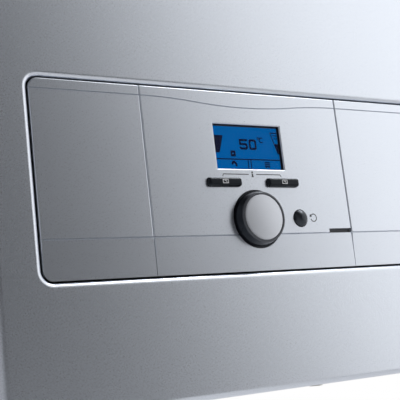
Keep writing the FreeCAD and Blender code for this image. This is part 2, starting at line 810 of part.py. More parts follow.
def cover_screws():
    """Two captive screws with nuts, which slide out of the tongues' notches with the cover."""
    nut_low = f"{FLOOR} + sheet + 2*cover_play"
    nut_high = f"{nut_low} + cover_nut_height"
    screws = []
    for side, sign in SIDES:
        spot = (f"{sign}*cover_screw_spacing/2", COVER_SCREW_Y)
        head = rod(f"cover_screw_head_{side}", "z", spot, (f"{BOTTOM} - cover_screw_head_height", BOTTOM),
                   "cover_screw_head_radius")
        shank = rod(f"cover_screw_shank_{side}", "z", spot, (BOTTOM, nut_high), "cover_screw_radius")
        nut = rod(f"cover_screw_nut_{side}", "z", spot, (nut_low, nut_high), "cover_screw_head_radius")
        low = f"{BOTTOM} - cover_screw_head_height"
        recess = cross_recess(f"cover_screw_{side}", "z", spot,
                              (f"{low} - {OVERRUN}", f"{low} + recess_depth"))
        blank = fuse(f"cover_screw_blank_{side}", head, shank, nut)
        screws.append(cut(f"cover_screw_{side}", blank, *recess))
    node(group("cover_screws", screws), "cover_screws")


def casing_screws():
    """Screws through the side panels into the rear frame's flanges."""
    screws = []
    for side, sign in SIDES:
        for step, height in enumerate(casing_screw_heights()):
            spot = ("-wall_offset/2", height)
            head = rod(f"casing_head_{side}_{step}", "x", spot,
                       sided(sign, OUTSIDE, f"{OUTSIDE} + screw_head_height"), "screw_head_radius")
            shank = rod(f"casing_shank_{side}_{step}", "x", spot,
                        sided(sign, f"{INSIDE} - frame_sheet - screw_point", OUTSIDE), "screw_radius")
            top = f"{OUTSIDE} + screw_head_height"
            recess = cross_recess(f"casing_screw_{side}_{step}", "x", spot,
                                  sided(sign, f"{top} - recess_depth", f"{top} + {OVERRUN}"))
            screws.append(cut(f"casing_screw_{side}_{step}",
                              fuse(f"casing_screw_blank_{side}_{step}", head, shank), *recess))
    node(group("casing_screws", screws), "casing_screws")


# Control panel

def lower_strip_cutter():
    """The long groove low on the panel, bevelled along its lower edge, where the front leans back."""
    outside = f"{FASCIA_FRONT} - {OVERRUN}"
    below = f"{FASCIA_BOTTOM} - {OVERRUN}"
    high, low = span(GROOVE_Z, "groove_width")[::-1]
    floor = f"{FASCIA_FRONT} + groove_depth"
    corners = [(outside, high), (floor, high), (floor, low), (f"{FASCIA_FRONT} + groove_bevel", low),
               (FASCIA_FRONT, f"{low} - groove_bevel"),
               (f"{FASCIA_FRONT} + strip_lean", below), (outside, below)]
    cutter = padded("lower_strip", "YZ_Plane", corners, f"2*{FASCIA_HALF} + 2*{OVERRUN}")
    return place(cutter, x=f"-{FASCIA_HALF} - {OVERRUN}")


def sweep_cutter():
    """A fine groove near the top edge, level on the side columns and sagging across the middle one."""
    end = number(FASCIA_HALF) + OVERRUN
    half = number("sweep_span/2")
    dip = number("sweep_dip")
    line = number(f"{FASCIA_BOTTOM} + sweep_rise")
    front = number(FASCIA_FRONT)
    depth = number("sweep_depth")
    lean = 2 * math.atan2(dip, half)
    bend = half / (2 * math.sin(lean))

    def at(x, drop):
        return Vector(x, front, line - drop)

    shoulder_x = half - bend * math.sin(lean / 2)
    shoulder_drop = bend * (1 - math.cos(lean / 2))
    path = Part.Wire([
        Part.LineSegment(at(-end, 0), at(-half, 0)).toShape(),
        Part.Arc(at(-half, 0), at(-shoulder_x, shoulder_drop), at(-half / 2, dip / 2)).toShape(),
        Part.Arc(at(-half / 2, dip / 2), at(0, dip), at(half / 2, dip / 2)).toShape(),
        Part.Arc(at(half / 2, dip / 2), at(shoulder_x, shoulder_drop), at(half, 0)).toShape(),
        Part.LineSegment(at(half, 0), at(end, 0)).toShape(),
    ])
    half_width, bevel = number("sweep_width/2"), number("sweep_bevel")
    outline = [(-OVERRUN, half_width), (depth, half_width), (depth, -half_width), (bevel, -half_width),
               (-OVERRUN, -half_width - bevel - OVERRUN)]
    corners = [Vector(-end, front + inward, line + rise) for inward, rise in outline]
    section = Part.makePolygon(corners + corners[:1])
    item = doc.addObject("Part::Feature", "sweep_groove")
    item.Shape = path.makePipeShell([section], True, False)
    return item


def fascia_blank(name, x, outer_ends):
    """One column of the panel before its grooves, with its outer corners and front edge rounded."""
    blank = block(f"{name}_blank", x, (FASCIA_FRONT, FASCIA_BACK), (FASCIA_BOTTOM, FASCIA_TOP))
    outer = [number(end) for end in outer_ends]
    if outer:
        round_body(blank, "fascia_corner", lambda edge: along(edge, "y")
                   and any(level(edge, "x", end) for end in outer))
    front = number(FASCIA_FRONT)
    return round_body(blank, "fascia_edge", lambda edge: level(edge, "y", front))


def fascias():
    """Three mouldings side by side: a blank column each side of the one that holds the controls."""
    grooves = fuse("panel_grooves", lower_strip_cutter(), sweep_cutter())
    for side, sign in SIDES:
        x = sided(sign, "centre_width/2 + seam/2", FASCIA_HALF)
        blank = fascia_blank(f"{side}_fascia", x, [x[0] if sign < 0 else x[1]])
        node(cut(f"{side}_fascia", blank, grooves), f"{side}_fascia")
    blank = fascia_blank("centre_fascia", (f"-{CENTRE_HALF}", CENTRE_HALF), [])
    through = (f"{FASCIA_FRONT} - {OVERRUN}", f"{FASCIA_BACK} + {OVERRUN}")
    openings = [box("display_opening", span("0", "display_width"), through,
                    span(DISPLAY_Z, "display_height")),
                rod("knob_opening", "y", ("0", KNOB_Z), through, "knob_radius + knob_play"),
                rod("reset_opening", "y", ("reset_offset", KNOB_Z), through,
                    "reset_radius + key_play"),
                box("finger_grip", (f"{CENTRE_HALF} - grip_width", f"{CENTRE_HALF} + {OVERRUN}"),
                    through, (GROOVE_Z, f"{GROOVE_Z} + grip_height"))]
    for side, sign in SIDES:
        openings.append(key_plate(f"key_opening_{side}", f"{sign}*key_spacing/2", "key_play", through))
    carved = cut("centre_carved", cut("centre_grooved", blank, grooves), *openings)
    front = number(FASCIA_FRONT)
    half_width = number("display_width/2") + SMALL
    floor = number(f"{DISPLAY_Z} - display_height/2") - SMALL
    ceiling = number(f"{DISPLAY_Z} + display_height/2") + SMALL
    node(round_part("centre_fascia", carved, "display_lip", lambda edge: level(edge, "y", front)
                    and max(abs(edge.BoundBox.XMin), abs(edge.BoundBox.XMax)) < half_width
                    and edge.BoundBox.ZMin > floor and edge.BoundBox.ZMax < ceiling), "centre_fascia")


def display():
    """The clear lens behind the panel's window and the module behind it."""
    x = span("0", "display_width + 2*lens_margin")
    z = span(DISPLAY_Z, "display_height + 2*lens_margin")
    lens_back = f"{FASCIA_BACK} + lens_thickness"
    node(box("display_lens", x, (FASCIA_BACK, lens_back), z), "display_lens")
    node(box("display_module", x, (lens_back, BOARD_FRONT), z), "display_module")


def keys():
    """Two oblong keys, each held by a lip behind the panel and pressing a switch with its stem."""
    lip_front = f"{FASCIA_BACK} + key_seat"
    lip_back = f"{lip_front} + key_lip_thickness"
    front = f"{FASCIA_FRONT} - key_stand"
    for side, sign in SIDES:
        x = f"{sign}*key_spacing/2"
        face = key_plate(f"{side}_key_face", x, "0", (front, lip_front))
        lip = key_plate(f"{side}_key_lip", x, "key_lip", (lip_front, lip_back))
        stem = rod(f"{side}_key_stem", "y", (x, KEY_Z), (lip_back, f"{SWITCH_FRONT} + stem_entry"),
                   "stem_radius")
        solid = fuse(f"{side}_key_solid", face, lip, stem)
        plane = number(front)
        node(round_part(f"{side}_key", solid, "key_round", lambda edge: level(edge, "y", plane)),
             f"{side}_key")


def reset_button():
    """A domed round button with a lip behind the panel and a stem."""
    high = "key_lip_thickness + key_seat + fascia_thickness + reset_stand"
    outline = [("0", "0"), ("reset_radius + key_lip", "0"), ("reset_radius + key_lip", "key_lip_thickness"),
               ("reset_radius", "key_lip_thickness"), ("reset_radius", high), ("0", high)]
    lip_back = f"{FASCIA_BACK} + key_seat + key_lip_thickness"
    dome = place(turned("reset_dome_body", outline), "reset_offset", lip_back, KNOB_Z, TO_FRONT)
    round_body(dome, "reset_dome", lambda edge: ring_of(edge, "reset_radius", high))
    stem = rod("reset_stem", "y", ("reset_offset", KNOB_Z), (lip_back, f"{SWITCH_FRONT} + stem_entry"),
               "stem_radius")
    node(fuse("reset_button", dome, stem), "reset_button")


def knob():
    """The tapered knob, sunk in the panel, its cap let into the front and the shaft that it turns."""
    cap_low = "knob_height - cap_thickness"
    outline = [("shaft_radius", "0"), ("knob_radius", "0"), ("knob_radius", "knob_base_height"),
               ("knob_radius - knob_step", "knob_base_height"), ("knob_front_radius", "knob_height"),
               ("cap_radius", "knob_height"), ("cap_radius", cap_low), ("0", cap_low), ("0", "knob_socket"),
               ("shaft_radius", "knob_socket")]
    body = place(turned("selector_knob", outline), "0", KNOB_BACK, KNOB_Z, TO_FRONT)
    round_body(body, "knob_round", lambda edge: ring_of(edge, "knob_front_radius", "knob_height"))
    node(body, "selector_knob")
    front = f"{KNOB_BACK} - knob_height"
    disc = rod("cap_disc", "y", ("0", KNOB_Z), (front, f"{KNOB_BACK} - ({cap_low})"), "cap_radius")
    plane = number(front)
    node(bevel_part("knob_cap", disc, "cap_bevel", lambda edge: level(edge, "y", plane)), "knob_cap")
    node(rod("knob_shaft", "y", ("0", KNOB_Z),
             (f"{KNOB_BACK} - knob_socket", f"{BOARD_FRONT} - shaft_end_gap"), "shaft_radius"),
         "knob_shaft")


def panel_switches():
    """The parts on the display board that the controls work: three push switches and the knob's encoder."""
    case = box("encoder_case", span("0", "encoder_width"), (f"{BOARD_FRONT} - encoder_depth", BOARD_FRONT),
               span(KNOB_Z, "encoder_width"))
    bushing = rod("encoder_bushing", "y", ("0", KNOB_Z),
                  (f"{BOARD_FRONT} - encoder_depth - bushing_length", BOARD_FRONT), "bushing_radius")
    bore = rod("encoder_bore", "y", ("0", KNOB_Z), (FASCIA_BACK, BOARD_FRONT), "shaft_radius + shaft_play")
    switches = [cut("knob_encoder", fuse("encoder_blank", case, bushing), bore)]
    places = [("left", "-key_spacing/2", KEY_Z), ("right", "key_spacing/2", KEY_Z),
              ("reset", "reset_offset", KNOB_Z)]
    for name, x, z in places:
        case = box(f"switch_case_{name}", span(x, "switch_width"), (SWITCH_FRONT, BOARD_FRONT),
                   span(z, "switch_width"))
        pocket = rod(f"switch_pocket_{name}", "y", (x, z),
                     (f"{SWITCH_FRONT} - {OVERRUN}", f"{SWITCH_FRONT} + switch_pocket"),
                     "stem_radius + key_play")
        switches.append(cut(f"switch_{name}", case, pocket))
    node(group("panel_switches", switches), "panel_switches")


def board_corners():
    """The four fixing points of the display board."""
    return [(f"{sign}*(board_width/2 - board_corner)", height) for side, sign in SIDES
            for height in (f"{FASCIA_BOTTOM} + board_margin + board_corner",
                           f"{FASCIA_TOP} - board_margin - board_corner")]


def display_board():
    """The board behind the panel and the screws that hold it to its posts."""
    board = box("display_board_blank", span("0", "board_width"), (BOARD_FRONT, BOARD_BACK),
                (f"{FASCIA_BOTTOM} + board_margin", f"{FASCIA_TOP} - board_margin"))
    holes = []
    screws = []
    for step, spot in enumerate(board_corners()):
        holes.append(rod(f"display_board_hole_{step}", "y", spot,
                         (f"{BOARD_FRONT} - {OVERRUN}", f"{BOARD_BACK} + {OVERRUN}"),
                         "board_screw_radius + screw_play"))
        shank = rod(f"board_screw_shank_{step}", "y", spot,
                    (f"{BOARD_FRONT} - board_screw_length", BOARD_BACK), "board_screw_radius")
        head = rod(f"board_screw_head_{step}", "y", spot,
                   (BOARD_BACK, f"{BOARD_BACK} + board_screw_height"), "board_screw_head")
        screws.append(fuse(f"board_screw_{step}", shank, head))
    node(cut("display_board", board, *holes), "display_board")
    node(group("board_screws", screws), "board_screws")


def control_box():
    """The tray behind the panel, with the board's posts and the openings for what passes through."""
    z = (BOX_BOTTOM, BOX_TOP)
    wall_back = f"{FASCIA_BACK} + box_wall"
    shell = box("box_outside", (f"-{BOX_HALF}", BOX_HALF), (FASCIA_BACK, BOX_BACK), z)
    hollow = box("box_hollow", (f"-{BOX_HALF} + box_wall", f"{BOX_HALF} - box_wall"),
                 (wall_back, f"{BOX_BACK} + {OVERRUN}"),
                 (f"{BOX_BOTTOM} + box_wall", f"{BOX_TOP} - box_wall"))
    posts = [rod(f"box_post_{step}", "y", spot, (wall_back, BOARD_FRONT), "post_radius")
             for step, spot in enumerate(board_corners())]
    through = (f"{FASCIA_BACK} - {OVERRUN}", f"{wall_back} + {OVERRUN}")
    cutters = [rod(f"box_post_hole_{step}", "y", spot, (f"{BOARD_FRONT} - board_screw_length", BOARD_FRONT),
                   "board_screw_radius + screw_play") for step, spot in enumerate(board_corners())]
    cutters.append(box("box_lens_opening", span("0", "display_width + 2*lens_margin + 2*lens_play"),
                       through,
                       span(DISPLAY_Z, "display_height + 2*lens_margin + 2*lens_play")))
    cutters.append(rod("box_bushing_opening", "y", ("0", KNOB_Z), through, "bushing_radius + bushing_play"))
    cutters.append(rod("box_reset_opening", "y", ("reset_offset", KNOB_Z), through,
                       "reset_radius + key_lip + key_play"))
    for side, sign in SIDES:
        cutters.append(key_plate(f"box_key_opening_{side}", f"{sign}*key_spacing/2", "key_lip + key_play",
                                 through))
    tray = fuse("box_blank", cut("box_tray", shell, hollow), *posts)
    node(cut("control_box", tray, *cutters), "control_box")


def control_box_lid():
    """The rear lid, with posts that carry the main board, and that board."""
    lid_back = f"{BOX_BACK} + box_wall"
    lid = box("lid_plate", (f"-{BOX_HALF}", BOX_HALF), (BOX_BACK, lid_back), (BOX_BOTTOM, BOX_TOP))
    middle = f"({FASCIA_BOTTOM} + fascia_height/2)"
    board_back = f"{BOX_BACK} - main_post_length"
    corners = [(f"{sign}*(main_board_width/2 - board_corner)",
                f"{middle} + {up}*(main_board_height/2 - board_corner)")
               for side, sign in SIDES for up in (-1, 1)]
    posts = [rod(f"lid_post_{step}", "y", spot, (board_back, BOX_BACK), "post_radius")
             for step, spot in enumerate(corners)]
    node(fuse("control_box_lid", lid, *posts), "control_box_lid")
    node(box("main_board", span("0", "main_board_width"), (f"{board_back} - board_thickness", board_back),
             span(middle, "main_board_height")), "main_board")


def control_box_brackets():
    """Two folded sheets that stand on the bottom plate and hold the control box by its sides."""
    near = f"{FASCIA_BACK} + box_bracket_setback"
    bend = f"{FRONT_EDGE} + box_bracket_gap"
    far = f"{FRONT_EDGE} + box_bracket_root"
    corners = [(near, BOX_BOTTOM), (bend, BOX_BOTTOM), (bend, FLOOR), (far, FLOOR), (far, BOX_TOP),
               (near, BOX_TOP)]
    brackets = []
    for side, sign in SIDES:
        plate_x = sided(sign, BOX_HALF, f"{BOX_HALF} + box_bracket_sheet")
        plate = place(padded(f"box_bracket_plate_{side}", "YZ_Plane", corners, "box_bracket_sheet"),
                      x=plate_x[0])
        foot = box(f"box_bracket_foot_{side}", sided(sign, BOX_HALF, f"{BOX_HALF} + box_bracket_foot"),
                   (bend, far),
                   (FLOOR, f"{FLOOR} + box_bracket_sheet"))
        brackets.append(fuse(f"box_bracket_{side}", plate, foot))
    node(group("control_box_brackets", brackets), "control_box_brackets")


# Water circuit

def pipe_holes():
    """The pipes that pass through the bottom plate: name, place and radius."""
    return [("flow", FLOW_X, "pipe_radius"), ("return", PUMP_X, "pipe_radius"),
            ("outlet", VALVE_X, "outlet_radius")]


def rubber_seals():
    """Rubber rings between the pipes and the bottom plate, and the gasket under the element flange."""
    gasket = rod("gasket_ring", "z", (TANK_X, TANK_Y), (TANK_TOP, FLANGE_LOW), "collar_radius")
    through = (f"{TANK_TOP} - {OVERRUN}", f"{FLANGE_LOW} + {OVERRUN}")
    hollow = rod("gasket_hollow", "z", (TANK_X, TANK_Y), through, "tank_radius - tank_wall")
    bolt_holes = flange_bolt_rods("gasket_bolt_hole", through, "flange_bolt_radius + screw_play")
    rings = [cut("flange_gasket", gasket, hollow, *bolt_holes)]
    for name, x, radius in pipe_holes():
        ends = span(f"({BOTTOM} + sheet/2)", "grommet_height")
        ring = rod(f"grommet_ring_{name}", "z", (x, PIPE_Y), ends, f"{radius} + grommet_wall - joint_play")
        hole = rod(f"grommet_hole_{name}", "z", (x, PIPE_Y), ends, f"{radius} + grommet_play")
        rings.append(cut(f"grommet_{name}", ring, hole))
    node(group("rubber_seals", rings), "rubber_seals")


def return_pipe():
    """The straight pipe from the heating circuit up to the pump."""
    spot = (PUMP_X, PIPE_Y)
    ends = (PIPE_END, f"{PUMP_LOW} + socket_depth")
    tube = rod("return_tube", "z", spot, ends, "pipe_radius")
    nipple = rod("return_nipple", "z", spot, (PIPE_END, f"{PIPE_END} + nipple_length"), "nipple_radius")
    bore = rod("return_bore", "z", spot, ends, PIPE_BORE)
    node(cut("return_pipe", fuse("return_blank", tube, nipple), bore), "return_pipe")


def riser_pipe():
    """The bent pipe from the pump up through the shelf into the tank's floor."""
    route = [(PUMP_X, PIPE_Y, f"{PUMP_HIGH} - socket_depth"), (PUMP_X, PIPE_Y, RISER_Z),
             (TANK_X, TANK_Y, RISER_Z), (TANK_X, TANK_Y, f"{SHELF_Z} + tank_wall")]
    node(cut("riser_pipe", bar("riser_outside", route, "pipe_radius", "riser_bend"),
             bar("riser_bore", route, PIPE_BORE, "riser_bend")), "riser_pipe")


def flow_pipe():
    """The pipe from the tank's side down past the jacket and back to the connection below."""
    route = [(f"{TANK_X} - tank_radius + tank_wall", TANK_Y, OUTLET_Z), (DROP_X, TANK_Y, OUTLET_Z),
             (DROP_X, TANK_Y, FLOW_Z), (FLOW_X, PIPE_Y, FLOW_Z), (FLOW_X, PIPE_Y, PIPE_END)]
    tube = bar("flow_outside", route, "pipe_radius", "flow_bend")
    nipple = rod("flow_nipple", "z", (FLOW_X, PIPE_Y), (PIPE_END, f"{PIPE_END} + nipple_length"),
                 "nipple_radius")
    bore = bar("flow_bore", route, PIPE_BORE, "flow_bend")
    node(cut("flow_pipe", fuse("flow_blank", tube, nipple), bore), "flow_pipe")


def pump_housing():
    """The volute with its two pipe sockets and its side ports for the vessel and the sensor."""
    spot = (PUMP_X, PIPE_Y)
    volute = rod("volute", "y", (PUMP_X, PUMP_Z), (PUMP_FRONT, f"{PIPE_Y} + volute_half"), "volute_radius")
    ports = rod("pump_ports", "z", spot, (PUMP_LOW, PUMP_HIGH), "port_radius")
    side_reach = "(volute_radius + side_port_length)"
    side_ports = rod("pump_side_ports", "x", (PIPE_Y, PUMP_Z),
                     (f"{PUMP_X} - {side_reach}", f"{PUMP_X} + {side_reach}"), "side_port_radius")
    cutters = [
        rod("pump_chamber", "y", (PUMP_X, PUMP_Z), (f"{PUMP_FRONT} - {OVERRUN}", CHAMBER_BACK),
            "chamber_radius"),
        rod("pump_passage", "z", spot, (PUMP_LOW, PUMP_HIGH), PIPE_BORE),
        rod("pump_inlet_socket", "z", spot, (PUMP_LOW, f"{PUMP_LOW} + socket_depth"), SOCKET),
        rod("pump_outlet_socket", "z", spot, (f"{PUMP_HIGH} - socket_depth", PUMP_HIGH), SOCKET),
        rod("pump_side_bore", "x", (PIPE_Y, PUMP_Z),
            (f"{PUMP_X} - {side_reach}", f"{PUMP_X} + {side_reach}"), "side_port_bore"),
        rod("pump_vessel_socket", "x", (PIPE_Y, PUMP_Z),
            (f"{PUMP_X} - {side_reach}", f"{PUMP_X} - volute_radius + side_port_root"),
            "vessel_pipe_radius + joint_play"),
    ]
    cutters += [rod(f"pump_bolt_hole_{step}", "y", place_of,
                    (PUMP_FRONT, f"{PUMP_FRONT} + pump_bolt_length"),
                    "pump_bolt_radius + screw_play") for step, place_of in enumerate(pump_bolt_places())]
    node(cut("pump_housing", fuse("pump_blank", volute, ports, side_ports), *cutters), "pump_housing")


def pump_bolt_places():
    """Four bolts between the pump's ports."""
    across = "pump_bolt_circle*sqrt(1/2)"
    return [(f"{PUMP_X} + {sign}*{across}", f"{PUMP_Z} + {up}*{across}") for side,
            sign in SIDES for up in (-1, 1)]


def pump_motor():
    """The motor's flange, can and terminal box, with the bore that carries the shaft."""
    flange_front = f"{PUMP_FRONT} - motor_flange"
    can_front = f"{flange_front} - motor_length"
    centre = (PUMP_X, PUMP_Z)
    flange = rod("motor_flange_disc", "y", centre, (flange_front, PUMP_FRONT), "volute_radius")
    can = rod("motor_can", "y", centre, (can_front, PUMP_FRONT), "motor_radius")
    terminal_box = box("motor_box", span(PUMP_X, "motor_box_width"),
                       (can_front, f"{can_front} + motor_box_width"),
                       (PUMP_Z, f"{PUMP_Z} + motor_radius + motor_box_height"))
    bore = rod("motor_bore", "y", centre, (f"{PUMP_FRONT} - pump_shaft_depth", PUMP_FRONT),
               "pump_shaft_radius + shaft_play")
    holes = [rod(f"motor_bolt_hole_{step}", "y", spot, (f"{flange_front} - {OVERRUN}", PUMP_FRONT),
                 "pump_bolt_radius + screw_play") for step, spot in enumerate(pump_bolt_places())]
    node(cut("pump_motor", fuse("motor_blank", flange, can, terminal_box), bore, *holes), "pump_motor")


def circuit_bolts():
    """The bolts of the pump's head and the hexagon bolts of the element flange."""
    flange_front = f"{PUMP_FRONT} - motor_flange"
    bolts = []
    for step, spot in enumerate(pump_bolt_places()):
        shank = rod(f"pump_bolt_shank_{step}", "y", spot,
                    (flange_front, f"{PUMP_FRONT} + pump_bolt_length"), "pump_bolt_radius")
        head = rod(f"pump_bolt_head_{step}", "y", spot, (f"{flange_front} - pump_bolt_head", flange_front),
                   "pump_bolt_head")
        bolts.append(fuse(f"pump_bolt_{step}", shank, head))
    shanks = flange_bolt_rods("flange_bolt_shank",
                              (f"{TANK_TOP} - collar_thickness - flange_bolt_end", FLANGE_HIGH),
                              "flange_bolt_radius")
    for step, shank in enumerate(shanks):
        head = doc.addObject("Part::Prism", f"flange_bolt_head_{step}")
        head.Polygon = 6
        bind(head, "Circumradius", "flange_bolt_head")
        bind(head, "Height", "flange_bolt_height")
        angle = 360 * step / SIZES["flange_bolt_count"]
        place(head, f"{TANK_X} + flange_bolt_circle*cos({angle})",
              f"{TANK_Y} + flange_bolt_circle*sin({angle})",
              FLANGE_HIGH)
        bolts.append(fuse(f"flange_bolt_{step}", shank, head))
    node(group("circuit_bolts", bolts), "circuit_bolts")


def pump_rotor():
    """The impeller, a disc with straight blades round a hub, on the motor's shaft."""
    centre = (PUMP_X, PUMP_Z)
    impeller_front = f"{IMPELLER_BACK} - impeller_width"
    disc = rod("impeller_disc_plate", "y", centre, (f"{IMPELLER_BACK} - impeller_disc", IMPELLER_BACK),
               "impeller_radius")
    hub = rod("impeller_hub_rod", "y", centre, (impeller_front, IMPELLER_BACK), "impeller_hub")
    blades = []
    for step in range(SIZES["blade_count"]):
        blade = doc.addObject("Part::Box", f"impeller_blade_{step}")
        bind(blade, "Length", "impeller_radius - impeller_hub/2")
        bind(blade, "Width", "impeller_width")
        bind(blade, "Height", "blade_thickness")
        angle = 360 * step / SIZES["blade_count"]
        ahead = f"cos({angle})*impeller_hub/2"
        above = f"sin({-angle})*impeller_hub/2"
        blades.append(place(blade, f"{PUMP_X} + {ahead}", impeller_front, f"{PUMP_Z} + {above}",
                            Rotation(Vector(0, 1, 0), angle)))
    bore = rod("impeller_bore", "y", centre, (f"{impeller_front} - {OVERRUN}",
                                              f"{IMPELLER_BACK} + {OVERRUN}"),
               "pump_shaft_radius")
    node(cut("pump_impeller", fuse("impeller_blank", disc, hub, *blades), bore), "pump_impeller")
    node(rod("pump_shaft", "y", centre, (f"{PUMP_FRONT} - pump_shaft_depth + shaft_end_gap", IMPELLER_BACK),
             "pump_shaft_radius"), "pump_shaft")


def tank_shelf():
    """A folded shelf on the rear frame that the tank stands on."""
    x = span(TANK_X, "2*shelf_half_width")
    front = f"{TANK_Y} - shelf_half_width"
    shelf = box("shelf_plate", x, (front, FRAME_FRONT), (f"{SHELF_Z} - shelf_sheet", SHELF_Z))
    apron = box("shelf_apron_plate", x, (f"{FRAME_FRONT} - shelf_sheet", FRAME_FRONT),
                (f"{SHELF_Z} - shelf_apron", SHELF_Z))
    hole = rod("shelf_hole", "z", (TANK_X, TANK_Y),
               (f"{SHELF_Z} - shelf_sheet - {OVERRUN}", f"{SHELF_Z} + {OVERRUN}"),
               "pipe_radius + shelf_hole_play")
    gussets = []
    for side, sign in SIDES:
        corners = [(FRAME_FRONT, SHELF_Z), (f"{FRAME_FRONT} - shelf_apron", SHELF_Z),
                   (FRAME_FRONT, f"{SHELF_Z} - shelf_apron")]
        low = f"{TANK_X} - shelf_half_width" if sign < 0 else f"{TANK_X} + shelf_half_width - shelf_sheet"
        gussets.append(place(padded(f"shelf_gusset_{side}", "YZ_Plane", corners, "shelf_sheet"), x=low))
    node(cut("tank_shelf", fuse("shelf_blank", shelf, apron, *gussets), hole), "tank_shelf")


def tank():
    """A closed-bottom cylinder with a collar for the element flange."""
    height = f"{TANK_TOP} - {SHELF_Z}"
    inner = "tank_radius - tank_wall"
    outline = [("0", "0"), ("tank_radius", "0"), ("tank_radius", f"{height} - collar_thickness"),
               ("collar_radius", f"{height} - collar_thickness"), ("collar_radius", height),
               (inner, height),
               (inner, "tank_wall"), ("0", "tank_wall")]
    shell = place(turned("tank_shell", outline), TANK_X, TANK_Y, SHELF_Z)
    inlet = rod("tank_inlet", "z", (TANK_X, TANK_Y),
                (f"{SHELF_Z} - {OVERRUN}", f"{SHELF_Z} + tank_wall + {OVERRUN}"), SOCKET)
    outlet = rod("tank_outlet", "x", (TANK_Y, OUTLET_Z), (f"{TANK_X} - tank_radius - {OVERRUN}", TANK_X),
                 SOCKET)
    holes = flange_bolt_rods("tank_bolt_hole",
                             (f"{TANK_TOP} - collar_thickness - {OVERRUN}", f"{TANK_TOP} + {OVERRUN}"),
                             "flange_bolt_radius + screw_play")
    node(cut("tank", shell, inlet, outlet, *holes), "tank")


def flange_bolt_rods(name, ends, radius):
    """Round bars on the flange's bolt circle."""
    rods = []
    for step in range(SIZES["flange_bolt_count"]):
        angle = 360 * step / SIZES["flange_bolt_count"]
        spot = (f"{TANK_X} + flange_bolt_circle*cos({angle})",
                f"{TANK_Y} + flange_bolt_circle*sin({angle})")
        rods.append(rod(f"{name}_{step}", "z", spot, ends, radius))
    return rods


def insulation_halves():
    """Two foam half shells round the tank, parted in the plane of its outlet."""
    ends = (SHELF_Z, f"{TANK_TOP} - collar_thickness - flange_bolt_end - insulation_play")
    spot = (TANK_X, TANK_Y)
    halves = []
    for half, sign in (("front", -1), ("rear", 1)):
        jacket = rod(f"jacket_{half}", "z", spot, ends, JACKET)
        hollow = rod(f"jacket_hollow_{half}", "z", spot, ends, "tank_radius + insulation_play")
        outlet = rod(f"jacket_outlet_{half}", "x", (TANK_Y, OUTLET_Z),
                     (f"{TANK_X} - {JACKET} - {OVERRUN}", TANK_X),
                     f"pipe_radius + {ELBOW_DIP} + insulation_play")
        near = f"{TANK_Y} - {JACKET} - {OVERRUN}"
        far = f"{TANK_Y} + {JACKET} + {OVERRUN}"
        if sign < 0:
            away = (f"{TANK_Y} - insulation_play/2", far)
        else:
            away = (near, f"{TANK_Y} + insulation_play/2")
        other = box(f"jacket_other_{half}", span(TANK_X, f"2*{JACKET} + 2*{OVERRUN}"), away, ends)
        halves.append(cut(f"insulation_{half}", jacket, hollow, outlet, other))
    node(group("insulation_halves", halves), "insulation_halves")


def element_legs(name, ends, radius):
    """Round bars where the elements' legs pass: two legs to each element."""
    rods = []
    for step in range(SIZES["element_count"]):
        angle = 90 + 360 * step / SIZES["element_count"]
        for side, sign in SIDES:
            spot = (f"{TANK_X} + element_circle*cos({angle}) - {sign}*element_pitch/2*sin({angle})",
                    f"{TANK_Y} + element_circle*sin({angle}) + {sign}*element_pitch/2*cos({angle})")
            rods.append(rod(f"{name}_{step}_{side}", "z", spot, ends, radius))
    return rods


def element_flange():
    """The flange that carries the elements and the air vent."""
    spot = (TANK_X, TANK_Y)
    through = (f"{FLANGE_LOW} - {OVERRUN}", f"{FLANGE_HIGH} + {OVERRUN}")
    disc = rod("flange_disc", "z", spot, (FLANGE_LOW, FLANGE_HIGH), "collar_radius")
    legs = element_legs("flange_leg_hole", through, "element_radius + joint_play")
    vent = rod("flange_vent_hole", "z", spot, through, "vent_nipple + joint_play")
    bolt_holes = flange_bolt_rods("flange_bolt_hole", through, "flange_bolt_radius + screw_play")
    node(cut("element_flange", disc, vent, *legs, *bolt_holes), "element_flange")


def heating_elements():
    """Bars bent to a U that hang from the flange into the tank, and their terminal collars."""
    bend_z = f"({SHELF_Z} + tank_wall + element_clearance + element_pitch/2)"
    legs = element_legs("element_leg", (bend_z, f"{FLANGE_HIGH} + element_stand"), "element_radius")
    elements = []
    for step in range(SIZES["element_count"]):
        angle = 90 + 360 * step / SIZES["element_count"]
        bow = doc.addObject("Part::Torus", f"element_bow_{step}")
        bind(bow, "Radius1", "element_pitch/2")
        bind(bow, "Radius2", "element_radius")
        bow.Angle3 = 180
        turn = Rotation(Vector(0, 0, 1), angle + 90).multiply(Rotation(Vector(1, 0, 0), -90))
        place(bow, f"{TANK_X} + element_circle*cos({angle})", f"{TANK_Y} + element_circle*sin({angle})",
              bend_z, turn)
        elements.append(fuse(f"element_{step}", bow, *legs[2 * step:2 * step + 2]))
    node(group("heating_elements", elements), "heating_elements")
    ends = (FLANGE_HIGH, f"{FLANGE_HIGH} + terminal_height")
    collars = [cut(f"{collar.Name}_ring", collar, hole) for collar, hole in zip(
        element_legs("terminal_collar", ends, "terminal_radius"),
        element_legs("terminal_hole", ends, "element_radius + joint_play"))]
    node(group("element_terminals", collars), "element_terminals")


def overheat_cutout():
    """A disc thermostat with two tabs, on the flange between two elements."""
    angle = 30
    x = f"({TANK_X} + element_circle*cos({angle}))"
    y = f"({TANK_Y} + element_circle*sin({angle}))"
    high = f"{FLANGE_HIGH} + cutout_height"
    case = rod("cutout_case", "z", (x, y), (FLANGE_HIGH, high), "cutout_radius")
    tabs = [box(f"cutout_tab_{side}", span(f"({x} + {sign}*cutout_radius/2)", "board_thickness"),
                span(y, "cutout_tab"), (f"{high} - {OVERRUN}", f"{high} + cutout_tab")) for side,
            sign in SIDES]
    node(fuse("overheat_cutout", case, *tabs), "overheat_cutout")


